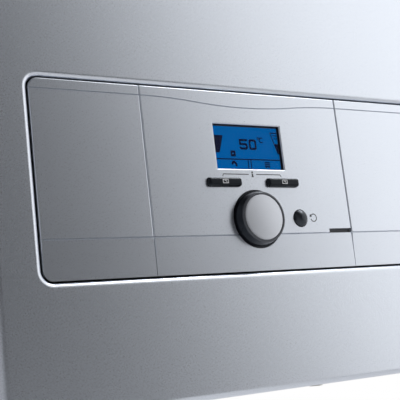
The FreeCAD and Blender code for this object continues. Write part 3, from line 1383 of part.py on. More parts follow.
def air_vent():
    """The vent's hollow body on the flange and the float in it."""
    spot = (TANK_X, TANK_Y)
    high = f"({FLANGE_HIGH} + vent_height)"
    floor = f"({FLANGE_HIGH} + vent_wall)"
    body = rod("vent_can", "z", spot, (FLANGE_HIGH, high), "vent_radius")
    nipple = rod("vent_nipple_rod", "z", spot, (FLANGE_LOW, FLANGE_HIGH), "vent_nipple")
    hollow = rod("vent_hollow", "z", spot, (floor, f"{high} - vent_wall"), "vent_radius - vent_wall")
    entry = rod("vent_entry", "z", spot, (FLANGE_LOW, floor), "vent_nipple - vent_wall")
    spout = rod("vent_spout", "z", spot, (high, f"{high} + vent_spout_height"), "vent_spout_radius")
    escape = rod("vent_escape", "z", spot, (f"{high} - vent_wall", f"{high} + vent_spout_height"),
                 "vent_hole")
    node(cut("air_vent_body", fuse("vent_blank", body, nipple, spout), hollow, entry, escape),
         "air_vent_body")
    float_low = f"({floor} + float_seat)"
    node(rod("air_vent_float", "z", spot, (float_low, f"{float_low} + float_height"), "float_radius"),
         "air_vent_float")


def vessel_shell(name, y, turn):
    """One pressed half of the vessel, with its rim and its rounded end."""
    inner = "vessel_radius - vessel_wall"
    depth = VESSEL_SHELL
    outline = [(inner, "0"), (VESSEL_EDGE, "0"), (VESSEL_EDGE, "vessel_rim_thickness"),
               ("vessel_radius", "vessel_rim_thickness"), ("vessel_radius", depth), ("0", depth),
               ("0", f"{depth} - vessel_wall"), (inner, f"{depth} - vessel_wall")]
    shell = place(turned(name, outline), "0", y, VESSEL_Z, turn)
    outer_round = f"min(vessel_round; {depth} - vessel_rim_thickness - vessel_wall)"
    round_body(shell, outer_round, lambda edge: ring_of(edge, "vessel_radius", depth))
    return round_body(shell, f"{outer_round} - vessel_wall",
                      lambda edge: ring_of(edge, inner, f"{depth} - vessel_wall"))


def vessel():
    """The expansion vessel: two shells, the membrane clamped between them and its pipe to the pump."""
    front = vessel_shell("vessel_front_half", f"{VESSEL_MIDDLE} - membrane/2", TO_FRONT)
    rear = vessel_shell("vessel_rear_half", f"{VESSEL_MIDDLE} + membrane/2", TO_BACK)
    low = f"({VESSEL_Z} - vessel_radius)"
    pipe_spot = (VESSEL_PIPE_X, VESSEL_PIPE_Y)
    nipple_low = f"{low} - vessel_nipple_length"
    nipple = rod("vessel_nipple", "z", pipe_spot, (nipple_low, f"{low} + vessel_nipple_root"),
                 "vessel_nipple_radius")
    nipple_bore = rod("vessel_nipple_bore", "z", pipe_spot, (nipple_low, f"{low} + vessel_nipple_root"),
                      "vessel_pipe_radius + joint_play")
    node(cut("vessel_front_shell", fuse("vessel_front_blank", front, nipple), nipple_bore),
         "vessel_front_shell")
    boss = rod("vessel_boss_rod", "y", ("0", VESSEL_Z), (f"{VESSEL_BACK} - vessel_wall", FRAME_FRONT),
               "vessel_boss")
    node(fuse("vessel_rear_shell", rear, boss), "vessel_rear_shell")
    node(rod("vessel_membrane", "y", ("0", VESSEL_Z), span(VESSEL_MIDDLE, "membrane"), VESSEL_EDGE),
         "vessel_membrane")
    route = [(*pipe_spot, low), (*pipe_spot, f"{PUMP_Z} + vessel_pipe_fall"),
             (VESSEL_PIPE_X, PIPE_Y, PUMP_Z),
             (f"{PUMP_X} - volute_radius + side_port_root", PIPE_Y, PUMP_Z)]
    node(cut("vessel_pipe", bar("vessel_pipe_outside", route, "vessel_pipe_radius", "vessel_pipe_bend"),
             bar("vessel_pipe_bore", route, "vessel_pipe_radius - vessel_pipe_wall", "vessel_pipe_bend")),
         "vessel_pipe")


def safety_valve():
    """A tee on the flow pipe, the valve beside it with its outlet through the floor, and its knob."""
    fitting = rod("valve_fitting", "z", (FLOW_X, PIPE_Y), span(VALVE_Z, "2*fitting_half"),
                  "pipe_radius + fitting_wall")
    branch = rod("valve_branch", "x", (PIPE_Y, VALVE_Z), (VALVE_X, FLOW_X), "branch_radius")
    body = rod("valve_can", "z", (VALVE_X, PIPE_Y), span(VALVE_Z, "2*valve_half"), "valve_radius")
    bonnet = rod("valve_bonnet", "y", (VALVE_X, VALVE_Z), (BONNET_FRONT, PIPE_Y), "bonnet_radius")
    outlet_end = f"{BOTTOM} - outlet_drop"
    outlet = rod("valve_outlet", "z", (VALVE_X, PIPE_Y), (outlet_end, VALVE_Z), "outlet_radius")
    hose_end = rod("valve_hose_end", "z", (VALVE_X, PIPE_Y),
                   (outlet_end, f"{outlet_end} + outlet_hose_length"), "outlet_hose_radius")
    seat = rod("valve_pipe_seat", "z", (FLOW_X, PIPE_Y), span(VALVE_Z, f"2*fitting_half + 2*{OVERRUN}"),
               SOCKET)
    bore = rod("valve_outlet_bore", "z", (VALVE_X, PIPE_Y), (outlet_end, VALVE_Z), "valve_bore")
    spindle_bore = rod("valve_spindle_bore", "y", (VALVE_X, VALVE_Z),
                       (BONNET_FRONT, f"{BONNET_FRONT} + spindle_length"), "spindle_radius + spindle_play")
    node(cut("safety_valve_body", fuse("valve_blank", fitting, branch, body, bonnet, outlet, hose_end),
             seat, bore,
             spindle_bore),
         "safety_valve_body")
    knob_back = f"{BONNET_FRONT} - knob_clearance"
    knob_front = f"{knob_back} - valve_knob_length"
    grip = rod("valve_grip", "y", (VALVE_X, VALVE_Z), (knob_front, knob_back), "valve_knob_radius")
    flutes = []
    for step in range(SIZES["flute_count"]):
        angle = 360 * step / SIZES["flute_count"]
        spot = (f"{VALVE_X} + valve_knob_radius*cos({angle})",
                f"{VALVE_Z} + valve_knob_radius*sin({angle})")
        flutes.append(rod(f"valve_flute_{step}", "y", spot,
                          (f"{knob_front} - {OVERRUN}", f"{knob_back} + {OVERRUN}"), "flute_radius"))
    spindle = rod("valve_spindle", "y", (VALVE_X, VALVE_Z),
                  (knob_back, f"{BONNET_FRONT} + spindle_length - shaft_end_gap"), "spindle_radius")
    node(fuse("safety_valve_knob", cut("valve_fluted_grip", grip, *flutes), spindle), "safety_valve_knob")


def drain_valve():
    """A tee low on the return pipe with a hose nozzle, and the knob that opens it."""
    fitting = rod("drain_fitting", "z", (PUMP_X, PIPE_Y), span(DRAIN_Z, "2*fitting_half"),
                  "pipe_radius + fitting_wall")
    spigot = rod("drain_spigot", "y", (PUMP_X, DRAIN_Z), (DRAIN_FRONT, PIPE_Y), "drain_radius")
    nozzle_spot = (PUMP_X, f"{PIPE_Y} - drain_nozzle_setback")
    nozzle_ends = (f"{DRAIN_Z} - drain_nozzle_drop", DRAIN_Z)
    nozzle = rod("drain_nozzle", "z", nozzle_spot, nozzle_ends, "drain_nozzle_radius")
    nozzle_bore = rod("drain_nozzle_hole", "z", nozzle_spot,
                      (nozzle_ends[0], f"{DRAIN_Z} - drain_nozzle_bore"), "drain_nozzle_bore")
    seat = rod("drain_pipe_seat", "z", (PUMP_X, PIPE_Y), span(DRAIN_Z, f"2*fitting_half + 2*{OVERRUN}"),
               SOCKET)
    spindle_bore = rod("drain_spindle_bore", "y", (PUMP_X, DRAIN_Z),
                       (DRAIN_FRONT, f"{DRAIN_FRONT} + spindle_length/2"), "spindle_radius + spindle_play")
    node(cut("drain_valve_body", fuse("drain_blank", fitting, spigot, nozzle), seat, nozzle_bore,
             spindle_bore),
         "drain_valve_body")
    knob_back = f"{DRAIN_FRONT} - knob_clearance"
    knob_front = f"{knob_back} - drain_knob_length"
    disc = rod("drain_disc", "y", (PUMP_X, DRAIN_Z), (knob_front, knob_back), "drain_knob_radius")
    bar_grip = box("drain_bar", span(PUMP_X, "drain_bar_width"),
                   (f"{knob_front} - drain_bar_height", knob_front),
                   span(DRAIN_Z, "2*drain_knob_radius - drain_bar_width"))
    spindle = rod("drain_spindle", "y", (PUMP_X, DRAIN_Z),
                  (knob_back, f"{DRAIN_FRONT} + spindle_length/2 - shaft_end_gap"), "spindle_radius")
    node(fuse("drain_valve_knob", disc, bar_grip, spindle), "drain_valve_knob")


def pressure_sensor():
    """A sensor on the pump's right port, with its plug."""
    start = f"({PUMP_X} + volute_radius + side_port_length)"
    can = rod("sensor_can", "x", (PIPE_Y, PUMP_Z), (start, f"{start} + sensor_length"), "sensor_radius")
    plug = box("sensor_plug", (f"{start} + sensor_length", f"{start} + sensor_length + sensor_plug_length"),
               span(PIPE_Y, "sensor_plug_width"), span(PUMP_Z, "sensor_plug_width"))
    node(fuse("pressure_sensor", can, plug), "pressure_sensor")


# Power section

def relay_board_corners():
    """The four posts of the relay board."""
    return [(f"{RELAY_MIDDLE} + {sign}*(relay_board_width/2 - board_corner)", height) for side,
            sign in SIDES
            for height in (f"{RELAY_BOARD_LOW} + board_corner", f"{RELAY_BOARD_HIGH} - board_corner")]


def relay_plate():
    """A folded plate on the right side panel that carries the power section."""
    z = (f"{SHELF_Z} + relay_plate_rise", f"{TOP} - relay_plate_headroom")
    plate = box("relay_sheet", (RELAY_LEFT, INSIDE), (RELAY_FRONT, RELAY_BACK), z)
    fold = box("relay_fold", (f"{INSIDE} - relay_plate_sheet", INSIDE),
               (RELAY_FRONT, f"{RELAY_BACK} + relay_plate_return"), z)
    posts = [rod(f"relay_post_{step}", "y", spot, (RELAY_BOARD_BACK, RELAY_FRONT), "post_radius")
             for step, spot in enumerate(relay_board_corners())]
    node(fuse("relay_plate", plate, fold, *posts), "relay_plate")


def relay_board():
    """The switching board and its two rows of relays."""
    node(box("relay_board", span(RELAY_MIDDLE, "relay_board_width"), (RELAY_BOARD_FRONT, RELAY_BOARD_BACK),
             (RELAY_BOARD_LOW, RELAY_BOARD_HIGH)), "relay_board")
    middle = f"({RELAY_BOARD_LOW} + relay_board_height/2)"
    relays = [box(f"relay_{column}_{row_up}",
                  span(f"({RELAY_MIDDLE} + {column - 1}*relay_pitch)", "relay_width"),
                  (f"{RELAY_BOARD_FRONT} - relay_depth", RELAY_BOARD_FRONT),
                  span(f"({middle} + {row_up}*relay_row_pitch/2)",
                       "relay_height")) for column in range(3) for row_up in (-1, 1)]
    node(group("relays", relays), "relays")


def terminal_block():
    """The mains terminals, with a wire entry below and a screw in front for each."""
    z = (f"{SHELF_Z} + terminal_block_rise", f"{SHELF_Z} + terminal_block_rise + terminal_block_height")
    front = f"{RELAY_FRONT} - terminal_block_depth"
    case = box("terminal_case", span(RELAY_MIDDLE, "terminal_block_width"), (front, RELAY_FRONT), z)
    cutters = []
    count = SIZES["terminal_count"]
    for step in range(count):
        x = f"{RELAY_MIDDLE} + terminal_block_width*{(step + 0.5) / count - 0.5}"
        cutters.append(rod(f"terminal_entry_{step}", "z", (x, f"{front} + terminal_block_depth/2"),
                           (z[0], f"{z[0]} + terminal_block_height/2"), "terminal_entry"))
        cutters.append(rod(f"terminal_screw_{step}", "y", (x, f"{z[0]} + terminal_block_height/2"),
                           (front, f"{front} + terminal_screw_depth"), "terminal_screw"))
    node(cut("terminal_block", case, *cutters), "terminal_block")


def element_leads():
    """One lead to each element, from the relay board's upper edge over to the element's terminal."""
    leads = []
    pin_top = f"({FLANGE_HIGH} + element_stand + lead_gap)"
    for step in range(SIZES["element_count"]):
        angle = 90 + 360 * step / SIZES["element_count"]
        pin_x = f"({TANK_X} + element_circle*cos({angle}) - element_pitch/2*sin({angle}))"
        pin_y = f"({TANK_Y} + element_circle*sin({angle}) + element_pitch/2*cos({angle}))"
        start_x = f"({RELAY_MIDDLE} + {step - 1}*relay_pitch)"
        start_y = f"({RELAY_BOARD_FRONT} - lead_radius)"
        crest = f"({pin_top} + lead_climb + {step}*lead_rise_pitch)"
        route = [(start_x, start_y, f"{RELAY_BOARD_HIGH} - board_corner"), (start_x, start_y, crest),
                 (pin_x, pin_y, crest), (pin_x, pin_y, pin_top)]
        leads.append(bar(f"element_lead_{step}", route, "lead_radius", "lead_bend"))
    node(group("element_leads", leads), "element_leads")


def gland_x(step):
    """The place of a cable gland across the bottom plate."""
    return f"{INSIDE} - gland_side - {1 - step}*gland_pitch"


def cable_glands():
    """Two glands through the bottom plate, each with a nut above and a hexagonal head below."""
    glands = []
    for step in range(2):
        spot = (gland_x(step), PIPE_Y)
        ends = (f"{BOTTOM} - gland_head_height", f"{FLOOR} + 2*gland_nut_height")
        head = doc.addObject("Part::Prism", f"gland_head_{step}")
        head.Polygon = 6
        bind(head, "Circumradius", "gland_nut_radius")
        bind(head, "Height", "gland_head_height")
        place(head, *spot, ends[0])
        thread = rod(f"gland_thread_{step}", "z", spot, (BOTTOM, ends[1]), "gland_thread")
        nut = rod(f"gland_nut_{step}", "z", spot, (FLOOR, f"{FLOOR} + gland_nut_height"),
                  "gland_nut_radius")
        bore = rod(f"gland_hole_{step}", "z", spot, ends, "gland_bore")
        glands.append(cut(f"gland_{step}", fuse(f"gland_blank_{step}", head, thread, nut), bore))
    node(group("cable_glands", glands), "cable_glands")


wall_bracket()
rear_frame()
side_panels()
top_panel()
bottom_plate()
front_cover()
cover_screws()
casing_screws()
fascias()
display()
keys()
reset_button()
knob()
panel_switches()
display_board()
control_box()
control_box_lid()
control_box_brackets()
rubber_seals()
return_pipe()
riser_pipe()
flow_pipe()
pump_housing()
pump_motor()
pump_rotor()
tank_shelf()
tank()
insulation_halves()
element_flange()
circuit_bolts()
heating_elements()
overheat_cutout()
air_vent()
vessel()
safety_valve()
drain_valve()
pressure_sensor()
relay_plate()
relay_board()
terminal_block()
element_leads()
cable_glands()
doc.recompute()

failed = [item.Name for item in doc.Objects if {"Invalid", "Error"} & set(item.State)]
failed += [item.Label for item in nodes if item.Shape.isNull() or not item.Shape.isValid()]
if failed:
    raise RuntimeError(f"These pieces didn't build: {failed}")

os.makedirs("parts", exist_ok=True)
for item in nodes:
    item.Shape.exportStep(f"parts/{item.Label}.step")
    print(f"{item.Label}: {len(item.Shape.Solids)} solids, {item.Shape.Volume / 1000:.1f} cm3")
print(f"{len(nodes)} sub-parts")
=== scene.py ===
# %% [markdown]
# # A wall-hung electric boiler, dressed for its portrait
#
# The solid model of the boiler already exists, with every sheet, pipe and key in its real place. Here it
# gets its looks: paint, plastic, copper and glass, the picture on its display and the prints on its panel.
# We load it first. Nothing that we add may make it larger.

# %% Load the boiler
import json
import math

import bmesh
import bpy
from mathutils import Matrix, Vector


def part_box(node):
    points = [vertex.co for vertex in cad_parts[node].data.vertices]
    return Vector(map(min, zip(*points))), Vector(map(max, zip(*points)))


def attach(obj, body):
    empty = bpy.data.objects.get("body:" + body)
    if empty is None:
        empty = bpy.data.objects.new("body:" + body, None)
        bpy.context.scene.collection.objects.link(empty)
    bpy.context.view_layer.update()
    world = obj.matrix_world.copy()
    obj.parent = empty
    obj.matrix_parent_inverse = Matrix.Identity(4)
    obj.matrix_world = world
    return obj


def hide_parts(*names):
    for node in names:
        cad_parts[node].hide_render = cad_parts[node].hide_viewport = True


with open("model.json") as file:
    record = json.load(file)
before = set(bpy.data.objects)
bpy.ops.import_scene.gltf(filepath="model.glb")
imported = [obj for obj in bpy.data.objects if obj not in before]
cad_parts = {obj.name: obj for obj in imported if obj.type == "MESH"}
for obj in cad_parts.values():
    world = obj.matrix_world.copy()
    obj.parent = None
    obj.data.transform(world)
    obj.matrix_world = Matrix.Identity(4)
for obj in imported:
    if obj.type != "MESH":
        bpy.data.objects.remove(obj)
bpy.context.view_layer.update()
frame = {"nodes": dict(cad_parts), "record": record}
nodes = frame["nodes"]
MM = 0.001

# %% [markdown]
# ## The camera
#
# The portrait is a close view of the control panel from the boiler's left and from slightly below, with
# the camera a little rolled. A camera can be aimed with a Track To constraint, but a rolled one is easier
# to state as three directions: where its right, its top and its view point. They are the columns of the
# camera's matrix, apart from the last, because a camera looks along its own minus Z.

# %% Place the camera
CAMERA_PLACE = Vector((-0.3894, -0.8271, -0.6155))
VIEW_RIGHT = Vector((0.8398, -0.5312, -0.1121))
VIEW_UP = Vector((0.0002, -0.2062, 0.9785))

lens = bpy.data.cameras.new("portrait")
lens.lens = 83.0
lens.sensor_width = 36.0
lens.clip_start = 0.01
camera = bpy.data.objects.new("portrait", lens)
right = VIEW_RIGHT.normalized()
back = right.cross(VIEW_UP).normalized()
top = back.cross(right)
camera.matrix_world = Matrix((
    (right.x, top.x, back.x, CAMERA_PLACE.x),
    (right.y, top.y, back.y, CAMERA_PLACE.y),
    (right.z, top.z, back.z, CAMERA_PLACE.z),
    (0, 0, 0, 1),
))
bpy.context.scene.collection.objects.link(camera)
bpy.context.scene.camera = camera
print("camera looks along", [round(v, 3) for v in -back])

# %% [markdown]
# ## Writing shaders as sums
#
# A material's nodes are sockets joined by links. Placing them by hand is slow to read in code, so one
# small class wraps a socket: adding or multiplying two of them adds a Math node, and the method `node`
# adds any other kind. It sets the node up first, because a setting such as a Mix node's data type changes
# which sockets it has.


# %% The wire class
class Wire:
    """An output socket of a material's nodes, which Python's operators can work on."""

    def __init__(self, tree, socket=None):
        self.tree = tree
        self.socket = socket

    def node(self, kind, settings=None, sockets=None, output=0):
        """Adds a node, sets it up, feeds its sockets and gives one of its outputs."""
        made = self.tree.nodes.new(kind)
        for name, value in (settings or {}).items():
            setattr(made, name, value)
        for name, value in (sockets or {}).items():
            feed(self.tree, made.inputs[name], value)
        return Wire(self.tree, made.outputs[output] if made.outputs else None)

    def maths(self, operation, *values):
        """Adds a Math node."""
        return self.node("ShaderNodeMath", {"operation": operation}, dict(enumerate(values)))

    def __add__(self, other):
        return self.maths("ADD", self, other)

    def __sub__(self, other):
        return self.maths("SUBTRACT", self, other)

    def __rsub__(self, other):
        return self.maths("SUBTRACT", other, self)

    def __mul__(self, other):
        return self.maths("MULTIPLY", self, other)

    __radd__ = __add__
    __rmul__ = __mul__


def feed(tree, target, value):
    """Links a wire to a socket, or sets a plain value on it."""
    if isinstance(value, Wire):
        tree.links.new(value.socket, target)
    else:
        target.default_value = value


def blend(wire, share, first, second):
    """One colour fading into another. Each is a wire or three plain numbers."""
    ends = [end if isinstance(end, Wire) else (*end, 1) for end in (first, second)]
    return wire.node("ShaderNodeMix", {"data_type": "RGBA"}, {0: share, 6: ends[0], 7: ends[1]}, output=2)


print("wires ready")

# %% [markdown]
# ## Light and surroundings
#
# The boiler's front is satin silver, and satin metal shows its surroundings: in the portrait it fades
# from near white at the upper right to mid grey at the lower left. Lamps alone would only add spots of
# light, so the fade comes from the room, as in a studio with white walls at one side. The world's light
# follows the direction: bright at the right, dim in the middle, and a soft fill at the far left. Behind
# the boiler it is even. What the camera sees directly or through the clear lens is plain white, which
# Light Path tells.

# %% The room
LIGHT_SIDE = Vector((0.91, 0.33, 0.30)).normalized()
BEHIND = Vector((0, 1, 0))
FILL_LEVEL = (0.36, 0.363, 0.372)
DIM_LEVEL = (0.010, 0.0105, 0.012)
BRIGHT_LEVEL = (1.52, 1.52, 1.51)
SIDE_LEVEL = (1.05, 1.05, 1.05)
BACK_LEVEL = (0.92, 0.92, 0.925)
FILL_TO_DIM = (-0.62, -0.14)
DIM_TO_BRIGHT = (0.19, 0.46)
BRIGHT_TO_SIDE = (0.50, 0.78)
FRONT_TO_BACK = (-0.05, 0.35)

world = bpy.data.worlds.new("studio")
world.use_nodes = True
bpy.context.scene.world = world
world.node_tree.nodes.clear()
room = Wire(world.node_tree)
direction = room.node("ShaderNodeTexCoord", output="Generated")


def fade(way, low, high):
    """How far a direction of the room lies towards a way: 0 up to low, 1 from high on, with soft ends."""
    along = room.node("ShaderNodeVectorMath", {"operation": "DOT_PRODUCT"}, {0: direction, 1: way},
                      output="Value")
    return room.node("ShaderNodeMapRange", {"interpolation_type": "SMOOTHSTEP"},
                     {"Value": along, "From Min": low, "From Max": high})


left_side = blend(room, fade(LIGHT_SIDE, *FILL_TO_DIM), FILL_LEVEL, DIM_LEVEL)
right_side = blend(room, fade(LIGHT_SIDE, *BRIGHT_TO_SIDE), BRIGHT_LEVEL, SIDE_LEVEL)
front_half = blend(room, fade(LIGHT_SIDE, *DIM_TO_BRIGHT), left_side, right_side)
glow = blend(room, fade(BEHIND, *FRONT_TO_BACK), front_half, BACK_LEVEL)
seen = room.node("ShaderNodeLightPath", output="Is Camera Ray")
through = room.node("ShaderNodeLightPath", output="Is Transmission Ray")
colour = blend(room, room.maths("MAXIMUM", seen, through), glow, (1, 1, 1))
sky = room.node("ShaderNodeBackground", None, {"Color": colour, "Strength": 1.0})
room.node("ShaderNodeOutputWorld", None, {"Surface": sky})
bpy.context.scene.view_settings.view_transform = "Standard"
print("room is bright towards", [round(v, 2) for v in LIGHT_SIDE])

# %% [markdown]
# Two weak square lamps stand high at the right. They add thin bright lines on the edges that face them
# and a little shadow, which the wide light of a room can't give. More power would show as a glare on the
# paint.


# %% The lamps
def softbox(name, place, target, side, watts):
    """A square lamp that faces a point."""
    lamp = bpy.data.lights.new(name, "AREA")
    lamp.shape = "SQUARE"
    lamp.size = side
    lamp.energy = watts
    stand = bpy.data.objects.new(name, lamp)
    place = Vector(place)
    turn = (Vector(target) - place).to_track_quat("-Z", "Y")
    stand.matrix_world = Matrix.Translation(place) @ turn.to_matrix().to_4x4()
    bpy.context.scene.collection.objects.link(stand)
    return stand


PANEL_MIDDLE = (0.0, -0.31, -0.49)
CASING_MIDDLE = (0.0, -0.15, -0.3)
lamps = [
    softbox("edge_softbox", (0.86, -0.73, 0.79), PANEL_MIDDLE, side=0.4, watts=6.0),
    softbox("top_softbox", (1.3, -0.1, 1.5), CASING_MIDDLE, side=1.0, watts=2.0),
]
print("lamps:", [lamp.name for lamp in lamps])

# %% [markdown]
# The boiler hangs on a wall, so the pale floor lies well below it. A single face would do, but a thin
# slab also looks right from its edge. It is a stage piece, and no part of the boiler.

# %% The floor
FLOOR_TOP = -1.25
FLOOR_SIDE = 7.0
FLOOR_THICK = 0.04

bm = bmesh.new()
bmesh.ops.create_cube(bm, size=1.0)
bmesh.ops.scale(bm, vec=(FLOOR_SIDE, FLOOR_SIDE, FLOOR_THICK), verts=bm.verts)
bmesh.ops.translate(bm, vec=(0, 0, FLOOR_TOP - FLOOR_THICK / 2), verts=bm.verts)
floor_mesh = bpy.data.meshes.new("studio_floor")
bm.to_mesh(floor_mesh)
bm.free()
floor = bpy.data.objects.new("studio_floor", floor_mesh)
bpy.context.scene.collection.objects.link(floor)
print("floor at", FLOOR_TOP, "m")

# %% [markdown]
# ## Finishes
#
# Each finish is one Principled shader. Values that are even all over the surface are set on its sockets.
# What varies, such as the grain of a plastic or the flecks of a silver paint, is drawn with noise on
# Object coordinates: every piece has its place in its mesh, so the pattern keeps its real size and stays
# put.


# %% A finish to start from
def new_finish(name, **even):
    """A material with one Principled shader, even values on its sockets, and a wire to build on."""
    material = bpy.data.materials.new(name)
    material.use_nodes = True
    tree = material.node_tree
    tree.nodes.clear()
    shader = tree.nodes.new("ShaderNodeBsdfPrincipled")
    end = tree.nodes.new("ShaderNodeOutputMaterial")
    tree.links.new(shader.outputs["BSDF"], end.inputs["Surface"])
    for socket, value in even.items():
        shader.inputs[socket.replace("_", " ")].default_value = value
    return material, shader, Wire(tree)


def vary(shader, wire, **sockets):
    """Feeds a shader's sockets with what changes over the surface."""
    for socket, value in sockets.items():
        feed(wire.tree, shader.inputs[socket.replace("_", " ")], value)


def place_of(wire, stretch=(1, 1, 1)):
    """Object coordinates, stretched to draw a pattern out along an axis."""
    spot = wire.node("ShaderNodeTexCoord", output="Object")
    return wire.node("ShaderNodeMapping", None, {"Vector": spot, "Scale": stretch})


def noise(wire, place, scale, detail=2.0, rough=0.5):
    """Cloudy noise, with a scale in clouds to the metre."""
    return wire.node("ShaderNodeTexNoise", None,
                     {"Vector": place, "Scale": scale, "Detail": detail, "Roughness": rough})


def raise_by(wire, height, depth):
    """A bump of a real depth in metres."""
    return wire.node("ShaderNodeBump", None, {"Height": height, "Distance": depth, "Strength": 1.0})


def ranged(value, low, high):
    """Stretches a 0 to 1 value to a range."""
    return value * (high - low) + low


print("finish helpers ready")

# %% [markdown]
# ### Grained finishes
#
# Paint, moulded plastic, rubber and castings differ mostly in numbers: how large their grain is, how
# deep, and how much the colour and the gloss vary with it. So one function makes them all. Two noises are
# mixed: a wide one for slow unevenness of colour, and a fine one for the grain itself.

# %% Grained finish
CLOUDS = 14.0
CLOUD_SHARE = 0.55


def grained(name, dark, light, grain, depth, gloss, **even):
    """A finish with a grain of a size and depth in millimetres, and a slow unevenness of colour."""
    material, shader, wire = new_finish(name, **even)
    place = place_of(wire)
    wide = noise(wire, place, CLOUDS, 3.0)
    fine = noise(wire, place, 1 / (grain * MM), 2.0, 0.6)
    tone = wide * CLOUD_SHARE + fine * (1 - CLOUD_SHARE)
    vary(shader, wire, Base_Color=blend(wire, tone, dark, light), Roughness=ranged(fine, *gloss),
         Normal=raise_by(wire, fine, depth * MM))
    return material


PLAIN_GRAINS = {
    "box_plastic": ("dark_box_plastic", (0.060, 0.062, 0.068), (0.10, 0.102, 0.11), 0.5, 0.02, (0.5, 0.7)),
    "switch_plastic": ("switch_plastic", (0.012, 0.012, 0.014), (0.03, 0.03, 0.032), 0.3, 0.008, (0.4, 0.6)),
    "sensor_case": ("sensor_plastic", (0.014, 0.014, 0.017), (0.04, 0.04, 0.045), 0.35, 0.01, (0.35, 0.55)),
    "relay_plastic": ("relay_plastic", (0.016, 0.017, 0.02), (0.036, 0.037, 0.04), 0.4, 0.006, (0.25, 0.4)),
    "terminal_plastic": ("pale_terminal_plastic", (0.52, 0.52, 0.48), (0.64, 0.64, 0.60), 0.4, 0.01,
                         (0.42, 0.6)),
    "gland_plastic": ("grey_gland_plastic", (0.20, 0.21, 0.22), (0.27, 0.28, 0.29), 0.4, 0.012, (0.4, 0.6)),
    "valve_red": ("red_knob_plastic", (0.36, 0.012, 0.010), (0.52, 0.026, 0.018), 0.5, 0.01, (0.25, 0.42)),
    "valve_black": ("black_knob_plastic", (0.012, 0.012, 0.013), (0.028, 0.028, 0.03), 0.5, 0.01,
                    (0.3, 0.5)),
    "motor_paint": ("dark_motor_enamel", (0.020, 0.032, 0.055), (0.036, 0.055, 0.09), 1.2, 0.05,
                    (0.3, 0.46)),
    "pump_cast": ("painted_casting", (0.055, 0.06, 0.066), (0.12, 0.125, 0.135), 1.4, 0.25, (0.5, 0.75)),
    "rubber": ("black_rubber", (0.008, 0.008, 0.008), (0.022, 0.022, 0.022), 0.6, 0.02, (0.6, 0.85)),
    "lead_sleeve": ("silicone_sleeve", (0.30, 0.016, 0.012), (0.44, 0.03, 0.02), 0.5, 0.01, (0.4, 0.55)),
    "terminal_ceramic": ("terminal_ceramic", (0.66, 0.64, 0.59), (0.80, 0.78, 0.73), 0.5, 0.02, (0.3, 0.5)),
}
finishes = {slot: grained(*values) for slot, values in PLAIN_GRAINS.items()}
print("plain grained finishes:", len(finishes))

# %% [markdown]
# A few grained finishes need a setting more. The panel's plastic is sprayed silver, so most of it acts as
# a metal. The vessel's enamel has a clear coat. Keys and reset button are near black, so what is seen of
# them is mostly their gloss, and that is tinted a little cool, as the studio's light is.

# %% Finishes with a setting more
COOL = (0.78, 0.87, 1.0, 1.0)
SILVER_DARK, SILVER_LIGHT = (0.670, 0.710, 0.785), (0.740, 0.782, 0.858)

finishes["panel_plastic"] = grained(
    "satin_panel_plastic", SILVER_DARK, SILVER_LIGHT, 0.35, 0.0003, (0.26, 0.30), Metallic=0.90)
finishes["vessel_paint"] = grained(
    "red_vessel_enamel", (0.30, 0.010, 0.010), (0.42, 0.020, 0.016), 1.6, 0.05, (0.22, 0.36),
    Coat_Weight=0.4, Coat_Roughness=0.12)
finishes["key_plastic"] = grained(
    "charcoal_key_plastic", (0.003, 0.004, 0.006), (0.007, 0.008, 0.011), 0.25, 0.004, (0.20, 0.28),
    Specular_IOR_Level=0.28, Specular_Tint=COOL)
reset_finish = grained(
    "glossy_reset_plastic", (0.005, 0.006, 0.008), (0.012, 0.013, 0.017), 0.25, 0.002, (0.30, 0.38),
    Specular_IOR_Level=0.75, Specular_Tint=COOL)
print("grained finishes:", len(finishes) + 1)

# %% [markdown]
# ### The knob
#
# The knob is dark grey plastic. Its sides are painted near black as painted shade, for the shadow they lie
# in, and only a ring on its front, round the cap, keeps the satin grey. The ring needs no piece of its own:
# the Object coordinate along the knob's axis tells how near to the front a point is, and that fades the
# painted shade into the grey.

# %% Knob plastic
KNOB_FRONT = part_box("selector_knob")[0].y
RING_START, RING_FULL = 1.5 * MM, 0.6 * MM
KNOB_GRAIN, KNOB_GRAIN_DEPTH = 0.3 * MM, 0.002 * MM

knob, shader, wire = new_finish("dark_knob_plastic", Specular_IOR_Level=0.4, Specular_Tint=COOL)
place = place_of(wire)
fine = noise(wire, place, 1 / KNOB_GRAIN, 2.0, 0.6)
depth = wire.node("ShaderNodeSeparateXYZ", None, {"Vector": place}, output="Y")
front = wire.node("ShaderNodeMapRange", None, {"Value": depth, "From Min": KNOB_FRONT + RING_START,
                                               "From Max": KNOB_FRONT + RING_FULL})
# Painted shade: the near black of the knob's sides stands for the shadow they lie in; the grey is the
# plastic's own colour.
painted_side_shade = blend(wire, fine, (0.002, 0.0025, 0.004), (0.005, 0.0055, 0.008))
grey = blend(wire, fine, (0.070, 0.073, 0.082), (0.100, 0.104, 0.116))
vary(shader, wire, Base_Color=blend(wire, front, painted_side_shade, grey), Roughness=ranged(fine, 0.16, 0.24),
     Normal=raise_by(wire, fine, KNOB_GRAIN_DEPTH))
finishes["knob_plastic"] = knob
print("knob ring", RING_FULL / MM, "mm deep")

# %% [markdown]
# ### Silver paint
#
# The casing is sprayed with a satin silver-grey paint. Seen close, such a paint has tiny flakes that each
# catch the light a little differently, and a faint orange peel left by the spray. A Voronoi texture gives
# each flake its own value, and a smooth noise gives the peel. The paint is mostly metal, so it mirrors
# the room softly.

# %% Silver paint
FLAKE = 0.22 * MM
PEEL, PEEL_DEPTH = 2.6 * MM, 0.0015 * MM
PAINT_CLOUDS = 9.0
FLAKE_SHARE = 0.4

